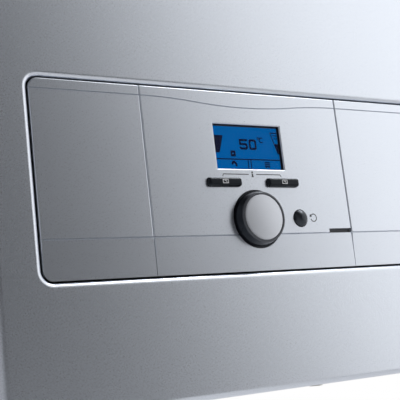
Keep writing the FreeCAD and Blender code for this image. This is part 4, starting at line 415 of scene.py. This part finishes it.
paint, shader, wire = new_finish("silver_paint", Metallic=0.90, Coat_Weight=0.10, Coat_Roughness=0.3)
place = place_of(wire)
flakes = wire.node("ShaderNodeTexVoronoi", None, {"Vector": place, "Scale": 1 / FLAKE}, output="Color")
sparkle = wire.node("ShaderNodeSeparateColor", None, {0: flakes})
peel = noise(wire, place, 1 / PEEL, 1.0)
tone = sparkle * FLAKE_SHARE + noise(wire, place, PAINT_CLOUDS, 3.0) * (1 - FLAKE_SHARE)
vary(shader, wire, Base_Color=blend(wire, tone, SILVER_DARK, SILVER_LIGHT),
     Roughness=ranged(sparkle, 0.27, 0.31), Normal=raise_by(wire, peel, PEEL_DEPTH))
finishes["painted_casing"] = paint
print("paint flakes of", FLAKE / MM, "mm")

# %% [markdown]
# ### Drawn and turned metal
#
# Copper pipes, brass bodies and stainless sheet carry fine lines from the tools that made them. A noise
# that is squeezed along two axes and drawn out along the third makes such lines, and a second, wide noise
# dulls the metal in patches, as handling and heat do.

# %% Drawn metal
DULL_PATCHES = 32.0
LINE_SHARE = 0.4


def drawn(name, dark, light, lines, stretch, gloss, depth=0.004):
    """Bare metal with tool lines of a width in millimetres, drawn out along an axis."""
    material, shader, wire = new_finish(name, Metallic=1.0)
    along = noise(wire, place_of(wire, stretch), 1 / (lines * MM), 2.0)
    patches = noise(wire, place_of(wire), DULL_PATCHES, 4.0, 0.6)
    tone = along * LINE_SHARE + patches * (1 - LINE_SHARE)
    vary(shader, wire, Base_Color=blend(wire, tone, dark, light), Roughness=ranged(tone, *gloss),
         Normal=raise_by(wire, along, depth * MM))
    return material


UPRIGHT, ACROSS, ROUND = (1, 1, 0.02), (1, 0.02, 1), (0.05, 0.05, 1)
METALS = {
    "copper": ("drawn_copper", (0.56, 0.24, 0.13), (0.80, 0.42, 0.28), 0.4, UPRIGHT, (0.22, 0.42)),
    "brass": ("turned_brass", (0.50, 0.33, 0.11), (0.70, 0.52, 0.23), 0.35, ROUND, (0.2, 0.4)),
    "stainless": ("stainless_sheet", (0.46, 0.46, 0.45), (0.62, 0.61, 0.60), 0.3, (0.03, 0.03, 1),
                  (0.26, 0.44)),
    "shaft_steel": ("turned_steel", (0.44, 0.44, 0.45), (0.62, 0.62, 0.62), 0.25, ACROSS, (0.2, 0.36)),
    "zinc_fixings": ("zinc_plated_steel", (0.46, 0.46, 0.43), (0.66, 0.66, 0.62), 0.3, (1, 1, 0.4),
                     (0.26, 0.46)),
    "element_alloy": ("heater_sheath", (0.20, 0.185, 0.18), (0.36, 0.33, 0.31), 0.5, UPRIGHT, (0.4, 0.62)),
    "knob_silver": ("silver_knob_cap", (0.54, 0.562, 0.61), (0.66, 0.684, 0.74), 0.25, (0.05, 1, 1),
                    (0.30, 0.40), 0.002),
}
finishes.update({slot: drawn(*values) for slot, values in METALS.items()})
print("drawn metals:", len(METALS))

# %% [markdown]
# ### Galvanised sheet
#
# Hot-dip zinc freezes in crystals a few millimetres across, each with its own grey. That is exactly what
# Voronoi cells are: one random value for each cell. The bracket, the rear frame and the inner plates have
# it.

# %% Galvanised sheet
SPANGLE = 7.0 * MM
FROST, FROST_DEPTH = 400.0, 0.008 * MM
CRYSTAL_SHARE = 0.6

zinc, shader, wire = new_finish("galvanised_sheet", Metallic=0.9)
place = place_of(wire)
cells = wire.node("ShaderNodeTexVoronoi", None, {"Vector": place, "Scale": 1 / SPANGLE}, output="Color")
crystal = wire.node("ShaderNodeSeparateColor", None, {0: cells})
frost = noise(wire, place, FROST, 3.0)
tone = crystal * CRYSTAL_SHARE + frost * (1 - CRYSTAL_SHARE)
vary(shader, wire, Base_Color=blend(wire, tone, (0.44, 0.46, 0.48), (0.66, 0.68, 0.70)),
     Roughness=ranged(tone, 0.34, 0.56), Normal=raise_by(wire, frost, FROST_DEPTH))
finishes["galvanised_sheet"] = zinc
print("zinc crystals of", SPANGLE / MM, "mm")

# %% [markdown]
# ### Foam and board
#
# The tank's jacket is moulded foam: pressed beads, which Voronoi distance draws as soft domes with a
# groove between them. The circuit boards are green laminate. Fine straight bands in two directions, let
# through in patches, look like the copper tracks under its lacquer.

# %% Foam
BEAD, BEAD_HEIGHT = 3.2 * MM, 0.5 * MM

foam, shader, wire = new_finish("moulded_foam")
place = place_of(wire)
bead = wire.node("ShaderNodeTexVoronoi", None, {"Vector": place, "Scale": 1 / BEAD}, output="Distance")
vary(shader, wire, Base_Color=blend(wire, bead, (0.075, 0.077, 0.082), (0.035, 0.036, 0.040)),
     Roughness=ranged(bead, 0.75, 0.92), Normal=raise_by(wire, 1 - bead, BEAD_HEIGHT))
finishes["foam"] = foam
print("foam beads of", BEAD / MM, "mm")

# %% Circuit board
TRACK, TRACK_HEIGHT = 1.6 * MM, 0.03 * MM
BAND_SCALE = 0.31 / TRACK
BAND_CUT, PATCH_CUT = 0.62, 0.52

board, shader, wire = new_finish("green_laminate", Coat_Weight=0.35, Coat_Roughness=0.2)
place = place_of(wire)
bands = []
for way, patches in (("X", 60.0), ("Z", 85.0)):
    band = wire.node("ShaderNodeTexWave", {"bands_direction": way},
                     {"Vector": place, "Scale": BAND_SCALE, "Distortion": 0.0})
    patch = noise(wire, place, patches, 0.0)
    bands.append(wire.maths("GREATER_THAN", band, BAND_CUT) * wire.maths("GREATER_THAN", patch, PATCH_CUT))
track = wire.maths("MAXIMUM", *bands)
vary(shader, wire, Base_Color=blend(wire, track, (0.010, 0.085, 0.040), (0.030, 0.17, 0.075)),
     Roughness=ranged(track, 0.45, 0.3), Normal=raise_by(wire, track, TRACK_HEIGHT))
finishes["board_laminate"] = board
print("board tracks of", TRACK / MM, "mm")

# %% [markdown]
# ### The display
#
# A backlit liquid crystal display glows by itself, so its blue is an emission. It is a little uneven, as
# the light behind it is. The lens in front is clear plastic, a Principled shader that transmits, with the
# faintest smears.

# %% Display finishes
BLUE, BLUE_WEAK = (0.0004, 0.096, 0.325), (0.0004, 0.084, 0.285)
UNEVEN, SMEARS = 24.0, 90.0

glow_blue, shader, wire = new_finish("backlit_blue", Roughness=0.6, Emission_Strength=1.0,
                                     Specular_IOR_Level=0.0)
uneven = noise(wire, place_of(wire), UNEVEN, 2.0)
vary(shader, wire, Base_Color=blend(wire, uneven, (0.002, 0.02, 0.05), (0.002, 0.018, 0.045)),
     Emission_Color=blend(wire, uneven, BLUE, BLUE_WEAK))
finishes["display_face"] = glow_blue

clear, shader, wire = new_finish("clear_lens", Transmission_Weight=1.0, IOR=1.12, Base_Color=(1, 1, 1, 1))
vary(shader, wire, Roughness=ranged(noise(wire, place_of(wire), SMEARS, 3.0), 0.0, 0.03))
finishes["display_glass"] = clear
print("display finishes ready")

# %% [markdown]
# ### Dressing the solids
#
# The record names a material slot for every solid piece, so a loop hands each one its finish. The reset
# button shares its slot with the keys but is glossier, so it gets its own.

# %% Dress every solid
slot_of = {part["node"]: part["material_slot"] for part in frame["record"]["subparts"]}
for name, piece in nodes.items():
    piece.data.materials.clear()
    piece.data.materials.append(reset_finish if name == "reset_button" else finishes[slot_of[name]])
floor.data.materials.append(
    grained("pale_floor", (0.86, 0.86, 0.865), (0.90, 0.90, 0.905), 1.5, 0.02, (0.6, 0.8)))
print("dressed", len(nodes), "solids in", len(set(slot_of.values())), "slots")

# %% [markdown]
# ## Prints
#
# The display's picture, the lines above the keys and the small symbols are thin flat shapes. A flat curve
# is the handiest tool for them: closed loops are filled, and a loop inside another becomes a hole. The
# curve is given a little thickness, made a mesh, and turned upright, because curves are drawn lying down.


# %% Loops to print
def bar(x0, z0, x1, z1):
    """A rectangle, from corner to corner."""
    return [(x0, z0), (x1, z0), (x1, z1), (x0, z1)]


def rounded(x0, z0, x1, z1, radius, steps=6):
    """A rectangle with round corners."""
    loop = []
    for quarter, (x, z) in enumerate(((x1 - radius, z1 - radius), (x0 + radius, z1 - radius),
                                      (x0 + radius, z0 + radius), (x1 - radius, z0 + radius))):
        for step in range(steps + 1):
            turn = math.radians(90 * quarter + 90 * step / steps)
            loop.append((x + radius * math.cos(turn), z + radius * math.sin(turn)))
    return loop


def arc_band(x, z, outer, inner, start, end, steps=28):
    """Part of a ring, between two angles in degrees."""
    turns = [math.radians(start + (end - start) * step / steps) for step in range(steps + 1)]
    loop = [(x + outer * math.cos(t), z + outer * math.sin(t)) for t in turns]
    return loop + [(x + inner * math.cos(t), z + inner * math.sin(t)) for t in reversed(turns)]


FULL_TURN = (0, 359.9)
print("a round corner takes", len(rounded(0, 0, 2, 2, 1)) // 4, "points")


# %% Pieces and prints
def new_piece(name, bm, finish, body):
    """Makes an object of a finished bmesh, and lets it ride on a body."""
    bmesh.ops.remove_doubles(bm, verts=bm.verts, dist=1e-7)
    bmesh.ops.recalc_face_normals(bm, faces=bm.faces)
    mesh = bpy.data.meshes.new(name)
    bm.to_mesh(mesh)
    bm.free()
    mesh.materials.append(finish)
    piece = bpy.data.objects.new(name, mesh)
    bpy.context.scene.collection.objects.link(piece)
    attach(piece, body)
    print(name, len(mesh.polygons), "faces")
    return piece


def printed(name, loops, middle, front, thick, finish, body):
    """A flat print that looks at the viewer: loops of (x, z) points in millimetres about a middle."""
    curve = bpy.data.curves.new(name, "CURVE")
    curve.dimensions = "2D"
    curve.fill_mode = "BOTH"
    curve.extrude = thick / 2 * MM
    for loop in loops:
        spline = curve.splines.new("POLY")
        spline.points.add(len(loop) - 1)
        for point, (x, z) in zip(spline.points, loop):
            point.co = ((middle[0] + x) * MM, (middle[1] + z) * MM, 0, 1)
        spline.use_cyclic_u = True
    lying = bpy.data.objects.new(name + "_drawing", curve)
    flat = bpy.data.meshes.new_from_object(lying)
    bpy.data.objects.remove(lying)
    bm = bmesh.new()
    bm.from_mesh(flat)
    bpy.data.meshes.remove(flat)
    turn = Matrix.Rotation(math.radians(90), 4, "X")
    upright = Matrix.Translation((0, (front + thick / 2) * MM, 0)) @ turn
    bmesh.ops.transform(bm, matrix=upright, verts=bm.verts)
    for face in bm.faces:
        face.material_index = 0
    return new_piece(name, bm, finish, body)


def box_of(name):
    """A solid's box in millimetres, with the middle of its front as (x, z)."""
    low, high = (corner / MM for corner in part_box(name))
    return low, high, ((low.x + high.x) / 2, (low.z + high.z) / 2)


print("panel front at", round(box_of("centre_fascia")[0].y, 2), "mm")

# %% [markdown]
# Printing ink is a grained finish too, with hardly any depth. The display's dark segments shine least,
# because they lie under the lens.

# %% Print inks
INK_GRAIN, INK_DEPTH = 0.3, 0.001
INK_GLOSS = (0.45, 0.6)

ink_dark = grained("dark_segment_ink", (0.0, 0.002, 0.020), (0.0005, 0.004, 0.030), 0.4, INK_DEPTH,
                   (0.5, 0.7), Specular_IOR_Level=0.1)
ink_grey = grained("grey_panel_ink", (0.022, 0.022, 0.026), (0.040, 0.040, 0.046), INK_GRAIN, INK_DEPTH,
                   INK_GLOSS)
ink_white = grained("white_key_ink", (0.70, 0.71, 0.73), (0.80, 0.81, 0.83), INK_GRAIN, INK_DEPTH, INK_GLOSS)
# The black ink also paints shade: it makes the display's mask and the sheet along the window's walls.
mask_and_shade_ink = grained("black_mask_ink", (0.004, 0.005, 0.010), (0.008, 0.009, 0.016), INK_GRAIN, INK_DEPTH,
                    (0.35, 0.5))
print("inks:", [ink.name for ink in (ink_dark, ink_grey, ink_white, mask_and_shade_ink)])

# %% [markdown]
# ### The picture on the display
#
# The display shows a set temperature of 50 degrees in block figures, a wedge-shaped gauge at each side, a
# small radiator, and a bottom row split in two, with the sign of a tap and of a radiator over the two
# keys. The picture lies just under the lens's front. It is drawn about the lens's middle, in millimetres.

# %% Display figures
LENS_LOW, LENS_HIGH, DISPLAY_MIDDLE = box_of("display_lens")
PICTURE_FRONT = LENS_LOW.y + 0.04
PICTURE_THICK = 0.05
FIGURE_TOP, FIGURE_LOW, WAIST = 6.5, -1.4, 3.5
STROKE = 1.6
FIVE_LEFT, FIVE_RIGHT = -6.6, 0.7
ZERO_LEFT, ZERO_RIGHT = 1.9, 8.6
OUTER_CUT, INNER_CUT, TAIL_CUT = 1.2, 0.6, 1.1
TAIL_RISE, TAIL_SLOPE = 0.5, 0.4


def display_print(name, loops):
    """A part of the display's picture."""
    printed(name, loops, DISPLAY_MIDDLE, PICTURE_FRONT, PICTURE_THICK, ink_dark, "casing")


inner, base = FIVE_RIGHT - STROKE, FIGURE_LOW + STROKE
five = [
    (FIVE_RIGHT, FIGURE_TOP), (FIVE_LEFT, FIGURE_TOP), (FIVE_LEFT, WAIST - STROKE),
    (inner - INNER_CUT, WAIST - STROKE), (inner, WAIST - STROKE - INNER_CUT),
    (inner, base + INNER_CUT), (inner - INNER_CUT, base),
    (FIVE_LEFT + STROKE + TAIL_SLOPE, base), (FIVE_LEFT + STROKE, base + TAIL_RISE),
    (FIVE_LEFT, base + TAIL_RISE), (FIVE_LEFT, FIGURE_LOW + TAIL_CUT), (FIVE_LEFT + TAIL_CUT, FIGURE_LOW),
    (FIVE_RIGHT - OUTER_CUT, FIGURE_LOW), (FIVE_RIGHT, FIGURE_LOW + OUTER_CUT),
    (FIVE_RIGHT, WAIST - OUTER_CUT), (FIVE_RIGHT - OUTER_CUT, WAIST), (FIVE_LEFT + STROKE, WAIST),
    (FIVE_LEFT + STROKE, FIGURE_TOP - STROKE), (FIVE_RIGHT, FIGURE_TOP - STROKE),
]
zero = [
    rounded(ZERO_LEFT, FIGURE_LOW, ZERO_RIGHT, FIGURE_TOP, 1.7),
    rounded(ZERO_LEFT + STROKE, base, ZERO_RIGHT - STROKE, FIGURE_TOP - STROKE, 0.7),
]
degree = arc_band(10.6, 7.5, 1.0, 0.35, *FULL_TURN)
celsius = arc_band(13.5, 6.1, 2.2, 1.35, 45, 315)
display_print("display_figures", [five, *zero, degree, celsius])

# %% [markdown]
# The gauges are wedges that taper downwards. The left one is filled nearly to its top. The right one is
# an outline whose lower part is filled, with two short marks near the top.

# %% Display gauges
WEDGE_TOP, WEDGE_LOW = 12.3, -4.1
WEDGE_INSIDE_TOP, WEDGE_INSIDE_LOW = 19.0, 24.4
EDGE = 29.6
RIGHT_SHIFT = 2.7
FILL_LEFT, FILL_RIGHT = 8.7, 3.7
LINE = 0.85
LOOP_GAP = 0.02


def wedge_side(z):
    """How far from the middle a wedge's slanting side is at a height."""
    share = (z - WEDGE_LOW) / (WEDGE_TOP - WEDGE_LOW)
    return WEDGE_INSIDE_LOW + (WEDGE_INSIDE_TOP - WEDGE_INSIDE_LOW) * share


left_fill = [(-wedge_side(FILL_LEFT), FILL_LEFT), (-EDGE, FILL_LEFT), (-EDGE, WEDGE_LOW),
             (-wedge_side(WEDGE_LOW), WEDGE_LOW)]
slant_top, slant_fill, slant_low = (wedge_side(z) + RIGHT_SHIFT for z in (WEDGE_TOP, FILL_RIGHT, WEDGE_LOW))
right_fill = [(slant_low, WEDGE_LOW), (EDGE + RIGHT_SHIFT, WEDGE_LOW), (EDGE + RIGHT_SHIFT, FILL_RIGHT),
              (slant_fill, FILL_RIGHT)]
right_side = [(slant_top, WEDGE_TOP), (slant_fill, FILL_RIGHT), (slant_fill + LINE, FILL_RIGHT),
              (slant_top + LINE, WEDGE_TOP)]
marks = [bar(24.2, 9.5, EDGE, 10.2), bar(25.2, 7.3, EDGE, 8.0)]
display_print("display_gauges", [left_fill, right_fill, right_side, *marks])
display_print("display_gauge_top", [bar(22.6, WEDGE_TOP - LINE, EDGE, WEDGE_TOP - LOOP_GAP)])

# %% [markdown]
# The bottom row is a long line with two short ones under it. Its signs are plain blocks: at this size a
# tap is a bent spout, and a radiator is three bars on two feet.

# %% Display row and signs
ROW_TOP, ROW_LOW, ROW_LINE = -8.2, -17.1, 0.9
SPLIT_TOP = ROW_TOP - ROW_LINE - LOOP_GAP
BAR_TOP, BAR_STEP, BAR_THICK = -10.2, 1.45, 1.0
FOOT_LOW, FOOT_TOP = -15.0, -14.12

row = bar(-EDGE, ROW_TOP - ROW_LINE, EDGE, ROW_TOP)
splits = [bar(-0.95, ROW_LOW, -0.15, SPLIT_TOP), bar(1.5, ROW_LOW, 2.3, SPLIT_TOP)]
heater = [rounded(-15.1, -6.7, -10.8, -2.3, 0.5), rounded(-13.6, -4.9, -12.3, -4.0, 0.2)]
tap = [(-15.6, -11.7), (-14.1, -9.8), (-12.4, -9.8), (-10.4, -11.8), (-10.4, -13.9), (-12.0, -13.9),
       (-12.0, -12.5), (-13.2, -11.5), (-14.4, -13.1)]
bars = [bar(14.0, high - BAR_THICK, 18.8, high) for high in (BAR_TOP - BAR_STEP * step for step in range(3))]
feet = [bar(14.7, FOOT_LOW, 15.6, FOOT_TOP), bar(17.2, FOOT_LOW, 18.1, FOOT_TOP)]
display_print("display_signs", [row, *splits, *heater, tap, *bars, *feet])

# %% [markdown]
# A dark printed mask runs round the picture. It also paints shade: its border darkens the display at the top
# and right, where the window's lips cast their shadow. From the portrait's camera it shows at the top and
# right only, because the panel's edge hides the rest. The window's walls lie in shade, and that is painted
# too, so the display looks sunk: a thin black sheet follows them from the lens outwards and stops just short
# of the panel's rounded edge.

# %% Display mask and painted wall shade
LENS_SEAT = 3.0
OPENING_X = (LENS_HIGH.x - LENS_LOW.x) / 2 - LENS_SEAT
OPENING_Z = (LENS_HIGH.z - LENS_LOW.z) / 2 - LENS_SEAT
# Painted shade: the mask's border darkens the display's top and right, where the lips cast shade, and the
# black sheet on the window's walls stands for the shade they lie in.
MASK_SHADE, MASK_SHADE_BELOW, MASK_SHADE_UNDER, MASK_SHADE_THICK = 1.0, 0.2, 0.6, 0.02
MASK_SHADE_FRONT = LENS_LOW.y + 0.015
SHADE_LINER_WALL, SHADE_LINER_AIR, SHADE_LINER_HIGH = 0.18, 0.02, 1.7


def opening(grown, radius):
    """The window's outline, grown or shrunk."""
    return rounded(-OPENING_X - grown, -OPENING_Z - grown, OPENING_X + grown, OPENING_Z + grown, radius)


sight = rounded(-OPENING_X + MASK_SHADE, -OPENING_Z + MASK_SHADE_BELOW, OPENING_X - MASK_SHADE, OPENING_Z - MASK_SHADE, 0.3)
printed("display_mask", [opening(MASK_SHADE_UNDER, 0.3), sight], DISPLAY_MIDDLE, MASK_SHADE_FRONT, MASK_SHADE_THICK, mask_and_shade_ink,
        "casing")
printed("display_liner", [opening(-SHADE_LINER_AIR, 0.3), opening(-SHADE_LINER_WALL, 0.2)], DISPLAY_MIDDLE,
        LENS_LOW.y - SHADE_LINER_AIR - SHADE_LINER_HIGH, SHADE_LINER_HIGH, mask_and_shade_ink, "casing")

# %% [markdown]
# ### Prints on the panel and the keys
#
# Two fine brackets lead from the letter i to the keys, and a round arrow stands beside the reset button.
# Each key has a small framed sign. The prints stand a few hundredths of a millimetre proud, as screen-
# printed ink does.

# %% Panel prints
INK = 0.03
PANEL_PRINT_FRONT = box_of("centre_fascia")[0].y - INK
BRACKET_MIDDLE = (0.0, box_of("left_key")[1].z + 1.75)
BRACKET_LINE, BRACKET_DROP = 0.6, 1.8
RESET_MIDDLE = box_of("reset_button")[2]
ARROW_MIDDLE = (RESET_MIDDLE[0] + 12.4, RESET_MIDDLE[1] + 0.3)


def bracket(side, near, far):
    """A line over a key, with its far end turned down."""
    loop = [(near, 0.0), (far, 0.0), (far + 0.9, -BRACKET_DROP), (far + 0.3, -BRACKET_DROP),
            (far - 0.25, -BRACKET_LINE), (near, -BRACKET_LINE)]
    return loop[::-1] if side > 0 else [(-x, z) for x, z in loop]


dot = arc_band(-0.2, 1.25, 0.7, 0.001, *FULL_TURN)
stem = [(-1.0, 0.25), (0.45, 0.25), (0.45, -1.75), (0.8, -1.75), (0.8, -2.3), (-1.2, -2.3), (-1.2, -1.75),
        (-0.75, -1.75), (-0.75, -0.3), (-1.0, -0.3)]
printed("panel_print", [bracket(-1, 3.4, 25.4), bracket(1, 3.2, 24.8), dot, stem], BRACKET_MIDDLE,
        PANEL_PRINT_FRONT, INK, ink_grey, "casing")

arrow = [arc_band(0, 0, 3.1, 2.4, -160, 128), [(-3.6, 0.5), (-1.0, 1.1), (-2.9, 2.9)]]
printed("reset_print", arrow, ARROW_MIDDLE, PANEL_PRINT_FRONT, INK, ink_grey, "casing")

# %% Key prints
SIGN_X, SIGN_Z, SIGN_LINE = 4.9 / 2, 3.1 / 2, 0.55
SIGN_OUT, SIGN_UP = 0.4, 0.25

sign = [
    rounded(-SIGN_X, -SIGN_Z, SIGN_X, SIGN_Z, 0.6),
    rounded(-SIGN_X + SIGN_LINE, -SIGN_Z + SIGN_LINE, SIGN_X - SIGN_LINE, SIGN_Z - SIGN_LINE, 0.3),
    [(-0.9, 0.7), (0.5, 0.7), (1.1, -0.1), (1.1, -0.9), (0.6, -0.9), (0.6, -0.2), (0.1, 0.2), (-0.9, 0.2)],
]
for side, key in ((-1, "left_key"), (1, "right_key")):
    low, high, (x, z) = box_of(key)
    printed(key + "_print", sign, (x + side * SIGN_OUT, z + SIGN_UP), low.y - INK, INK, ink_white, key)

# %% [markdown]
# ## The knob's cap
#
# The real cap is a thin disc with a slight crown, so light runs across it from one side to the other. A
# flat disc would show one even grey. The crown is an outline spun about an upright axis, then laid on its
# side with a quarter turn, and it takes the place of the flat solid.


# %% Spun pieces
def spin_outline(bm, outline, x, y, steps):
    """Turns a closed outline of (radius, z) points in millimetres about an upright axis."""
    ring = [bm.verts.new(((x + radius) * MM, y * MM, z * MM)) for radius, z in outline]
    sides = [bm.edges.new((ring[i - 1], ring[i])) for i in range(len(ring))]
    bmesh.ops.spin(bm, geom=ring + sides, cent=(x * MM, y * MM, 0), axis=(0, 0, 1), angle=math.tau,
                   steps=steps, use_merge=True)


CAP_STEPS, STRAP_STEPS, THREAD_STEPS = 128, 96, 64
print("cap, straps and threads spin in", CAP_STEPS, STRAP_STEPS, THREAD_STEPS, "steps")

# %% Crowned cap
CAP_LOW, CAP_HIGH, CAP_MIDDLE = box_of("knob_cap")
CAP_AIR = 0.03
CAP_RADIUS = (CAP_HIGH.x - CAP_LOW.x) / 2 - CAP_AIR
CAP_THICK = CAP_HIGH.y - CAP_LOW.y
CROWN, CAP_EDGE, CROWN_STEPS = 0.45, 0.3, 14

flat = CAP_RADIUS - CAP_EDGE
crown = [(flat * share, CAP_THICK - CROWN * share ** 2)
         for share in (step / CROWN_STEPS for step in range(CROWN_STEPS + 1))]
shoulder = CAP_THICK - CROWN - CAP_EDGE
bend = [(flat + CAP_EDGE * math.sin(turn), shoulder + CAP_EDGE * math.cos(turn))
        for turn in (math.radians(angle) for angle in (30, 60, 90))]
bm = bmesh.new()
spin_outline(bm, crown + bend + [(CAP_RADIUS, 0.0), (0.0, 0.0)], 0, 0, CAP_STEPS)
turn = Matrix.Rotation(math.radians(90), 4, "X")
laid = Matrix.Translation((CAP_MIDDLE[0] * MM, CAP_HIGH.y * MM, CAP_MIDDLE[1] * MM)) @ turn
bmesh.ops.transform(bm, matrix=laid, verts=bm.verts)
cap = new_piece("knob_crown", bm, finishes["knob_silver"], "knob")
for face in cap.data.polygons:
    face.use_smooth = True
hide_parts("knob_cap")
print("cap crowned by", CROWN, "mm")

# %% [markdown]
# ## Inside the casing
#
# With the cover off, the tank and the boards come into sight. What the solids leave out is small: two
# straps that hold the jacket's halves together, the parts on the relay board, a foam seal on the casing's
# front edges and the threads of the pipe ends. Round pieces are an outline spun about an upright axis.

# %% Jacket straps
JACKET_LOW, JACKET_HIGH, JACKET_MIDDLE = box_of("insulation_halves")
JACKET_Y = (JACKET_LOW.y + JACKET_HIGH.y) / 2
JACKET_RADIUS = (JACKET_HIGH.x - JACKET_LOW.x) / 2
STRAP_AIR, STRAP_THICK, STRAP_HALF, STRAP_EDGE = 0.05, 0.9, 7.0, 0.3
STRAP_SHARES = (0.2, 0.8)

inside = JACKET_RADIUS + STRAP_AIR
outside = inside + STRAP_THICK
bm = bmesh.new()
for share in STRAP_SHARES:
    middle = JACKET_LOW.z + (JACKET_HIGH.z - JACKET_LOW.z) * share
    low, high = middle - STRAP_HALF, middle + STRAP_HALF
    spin_outline(bm, [(inside, low), (outside - STRAP_EDGE, low), (outside, low + STRAP_EDGE),
                      (outside, high - STRAP_EDGE), (outside - STRAP_EDGE, high), (inside, high)],
                 JACKET_MIDDLE[0], JACKET_Y, STRAP_STEPS)
new_piece("jacket_straps", bm, finishes["sensor_case"], "casing")

# %% [markdown]
# A 3/4 inch pipe thread has fourteen ridges to the inch. They are drawn as rings, not as a helix: at this
# pitch the eye can't tell, and a ring closes on itself.

# %% Pipe threads
PITCH = 25.4 / 14
RIDGE, RIDGE_ROOT = 0.35, 0.2
TURNS = 9
THREAD_AIR, THREAD_LEAD = 0.03, 0.8

mounts = {mount["name"]: mount for mount in frame["record"]["mounts"]}
end = box_of("return_pipe")[0].z + THREAD_LEAD
bm = bmesh.new()
for name in ("flow_connection", "return_connection"):
    x, y = (value / MM for value in mounts[name]["pos_m"][:2])
    root = mounts[name]["dims"]["r_mm"] + THREAD_AIR
    outline = [(root - RIDGE_ROOT, end)]
    for turn in range(TURNS):
        outline += [(root, end + turn * PITCH), (root + RIDGE, end + (turn + 0.5) * PITCH)]
    outline += [(root, end + TURNS * PITCH), (root - RIDGE_ROOT, end + TURNS * PITCH)]
    spin_outline(bm, outline, x, y, THREAD_STEPS)
new_piece("pipe_threads", bm, finishes["copper"], "casing")

# %% [markdown]
# ### The relay board's parts
#
# A board looks real by its crowd of small blocks and cans. Each is a cube or a short cone from bmesh,
# with its edges bevelled, set on the board's front. Those of one finish share a mesh.

# %% Blocks and cans
BOARD_LOW, BOARD_HIGH, (BOARD_X, BOARD_Z) = box_of("relay_board")


def block_on_board(bm, x, z, wide, high, tall, edge=0.4):
    """A bevelled block that stands on the board's front."""
    cube = bmesh.ops.create_cube(bm, size=1.0)["verts"]
    bmesh.ops.scale(bm, vec=(wide * MM, tall * MM, high * MM), verts=cube)
    bmesh.ops.translate(bm, vec=(x * MM, (BOARD_LOW.y - tall / 2) * MM, z * MM), verts=cube)
    edges = list({side for vert in cube for side in vert.link_edges})
    bmesh.ops.bevel(bm, geom=edges, offset=edge * MM, offset_type="OFFSET", segments=2, profile=0.5,
                    affect="EDGES", clamp_overlap=True, material=-1)


def can_on_board(bm, x, z, radius, tall, edge=0.6):
    """A round can that stands on the board's front, with a bevelled rim."""
    turn = Matrix.Rotation(math.radians(90), 4, "X")
    place = Matrix.Translation((x * MM, (BOARD_LOW.y - tall / 2) * MM, z * MM)) @ turn
    can = bmesh.ops.create_cone(bm, cap_ends=True, segments=32, radius1=radius * MM, radius2=radius * MM,
                                depth=tall * MM, matrix=place)["verts"]
    top = min(vert.co.y for vert in can)
    rim = list({side for vert in can for side in vert.link_edges
                if all(abs(end.co.y - top) < 1e-6 for end in side.verts)})
    bmesh.ops.bevel(bm, geom=rim, offset=edge * MM, offset_type="OFFSET", segments=3, profile=0.5,
                    affect="EDGES", clamp_overlap=True, material=-1)


print("board", round(BOARD_HIGH.x - BOARD_LOW.x), "mm wide")

# %% Chips
SIDE_ROW = 9.0
LEFT_ROW, RIGHT_ROW = BOARD_LOW.x + SIDE_ROW, BOARD_HIGH.x - SIDE_ROW
CHIP_WIDE, CHIP_TALL, CHIP_EDGE = 8, 2.6, 0.25
CHIPS = ((LEFT_ROW, 22.5, 12), (LEFT_ROW, -0.5, 12), (RIGHT_ROW, 9.5, 10))

bm = bmesh.new()
for x, up, high in CHIPS:
    block_on_board(bm, x, BOARD_Z + up, CHIP_WIDE, high, CHIP_TALL, CHIP_EDGE)
new_piece("board_chips", bm, finishes["relay_plastic"], "casing")

# %% Connectors and terminals
EDGE_ROW = 6.5
CONNECTORS, CONNECTOR_START, CONNECTOR_STEP = 4, -45, 25
CONNECTOR_WIDE, CONNECTOR_HIGH, CONNECTOR_TALL = 16, 7, 9
TERMINALS, TERMINAL_STEP = 11, 11.0
TERMINAL_WIDE, TERMINAL_HIGH, TERMINAL_TALL = 10, 9, 12
SCREW_RADIUS, SCREW_TALL, SCREW_EDGE = 2.8, 12.4, 0.3

terminal_places = [BOARD_X + TERMINAL_STEP * (step - (TERMINALS - 1) / 2) for step in range(TERMINALS)]
terminal_row = BOARD_LOW.z + EDGE_ROW
bm = bmesh.new()
for step in range(CONNECTORS):
    block_on_board(bm, BOARD_X + CONNECTOR_START + CONNECTOR_STEP * step, BOARD_HIGH.z - EDGE_ROW,
                   CONNECTOR_WIDE, CONNECTOR_HIGH, CONNECTOR_TALL)
for x in terminal_places:
    block_on_board(bm, x, terminal_row, TERMINAL_WIDE, TERMINAL_HIGH, TERMINAL_TALL)
new_piece("board_connectors", bm, finishes["terminal_plastic"], "casing")

bm = bmesh.new()
for x in terminal_places:
    can_on_board(bm, x, terminal_row, SCREW_RADIUS, SCREW_TALL, SCREW_EDGE)
new_piece("board_terminal_screws", bm, finishes["zinc_fixings"], "casing")

# %% Capacitors
CANS = ((LEFT_ROW, -26.5, 6.2, 16), (RIGHT_ROW, -18.5, 6.2, 16), (RIGHT_ROW, 31.5, 5.0, 12))

sleeve = grained("blue_can_sleeve", (0.010, 0.018, 0.055), (0.018, 0.030, 0.085), 0.5, 0.004, (0.24, 0.36))
bm = bmesh.new()
for x, up, radius, tall in CANS:
    can_on_board(bm, x, BOARD_Z + up, radius, tall)
new_piece("board_capacitors", bm, sleeve, "casing")

# %% [markdown]
# A strip of black foam runs down each of the casing's front edges, where the cover closes against it.

# %% Casing seals
SEAL_WIDE, SEAL_THICK, SEAL_END, SEAL_AIR = 6.0, 0.6, 16.0, 0.02
for name in ("left_side_panel", "right_side_panel"):
    low, high, middle = box_of(name)
    half = (high.z - low.z) / 2 - SEAL_END
    strip = rounded(-SEAL_WIDE / 2, -half, SEAL_WIDE / 2, half, 1.0)
    printed(name.replace("side_panel", "casing_seal"), [strip], middle, low.y - SEAL_THICK - SEAL_AIR,
            SEAL_THICK, finishes["rubber"], "casing")
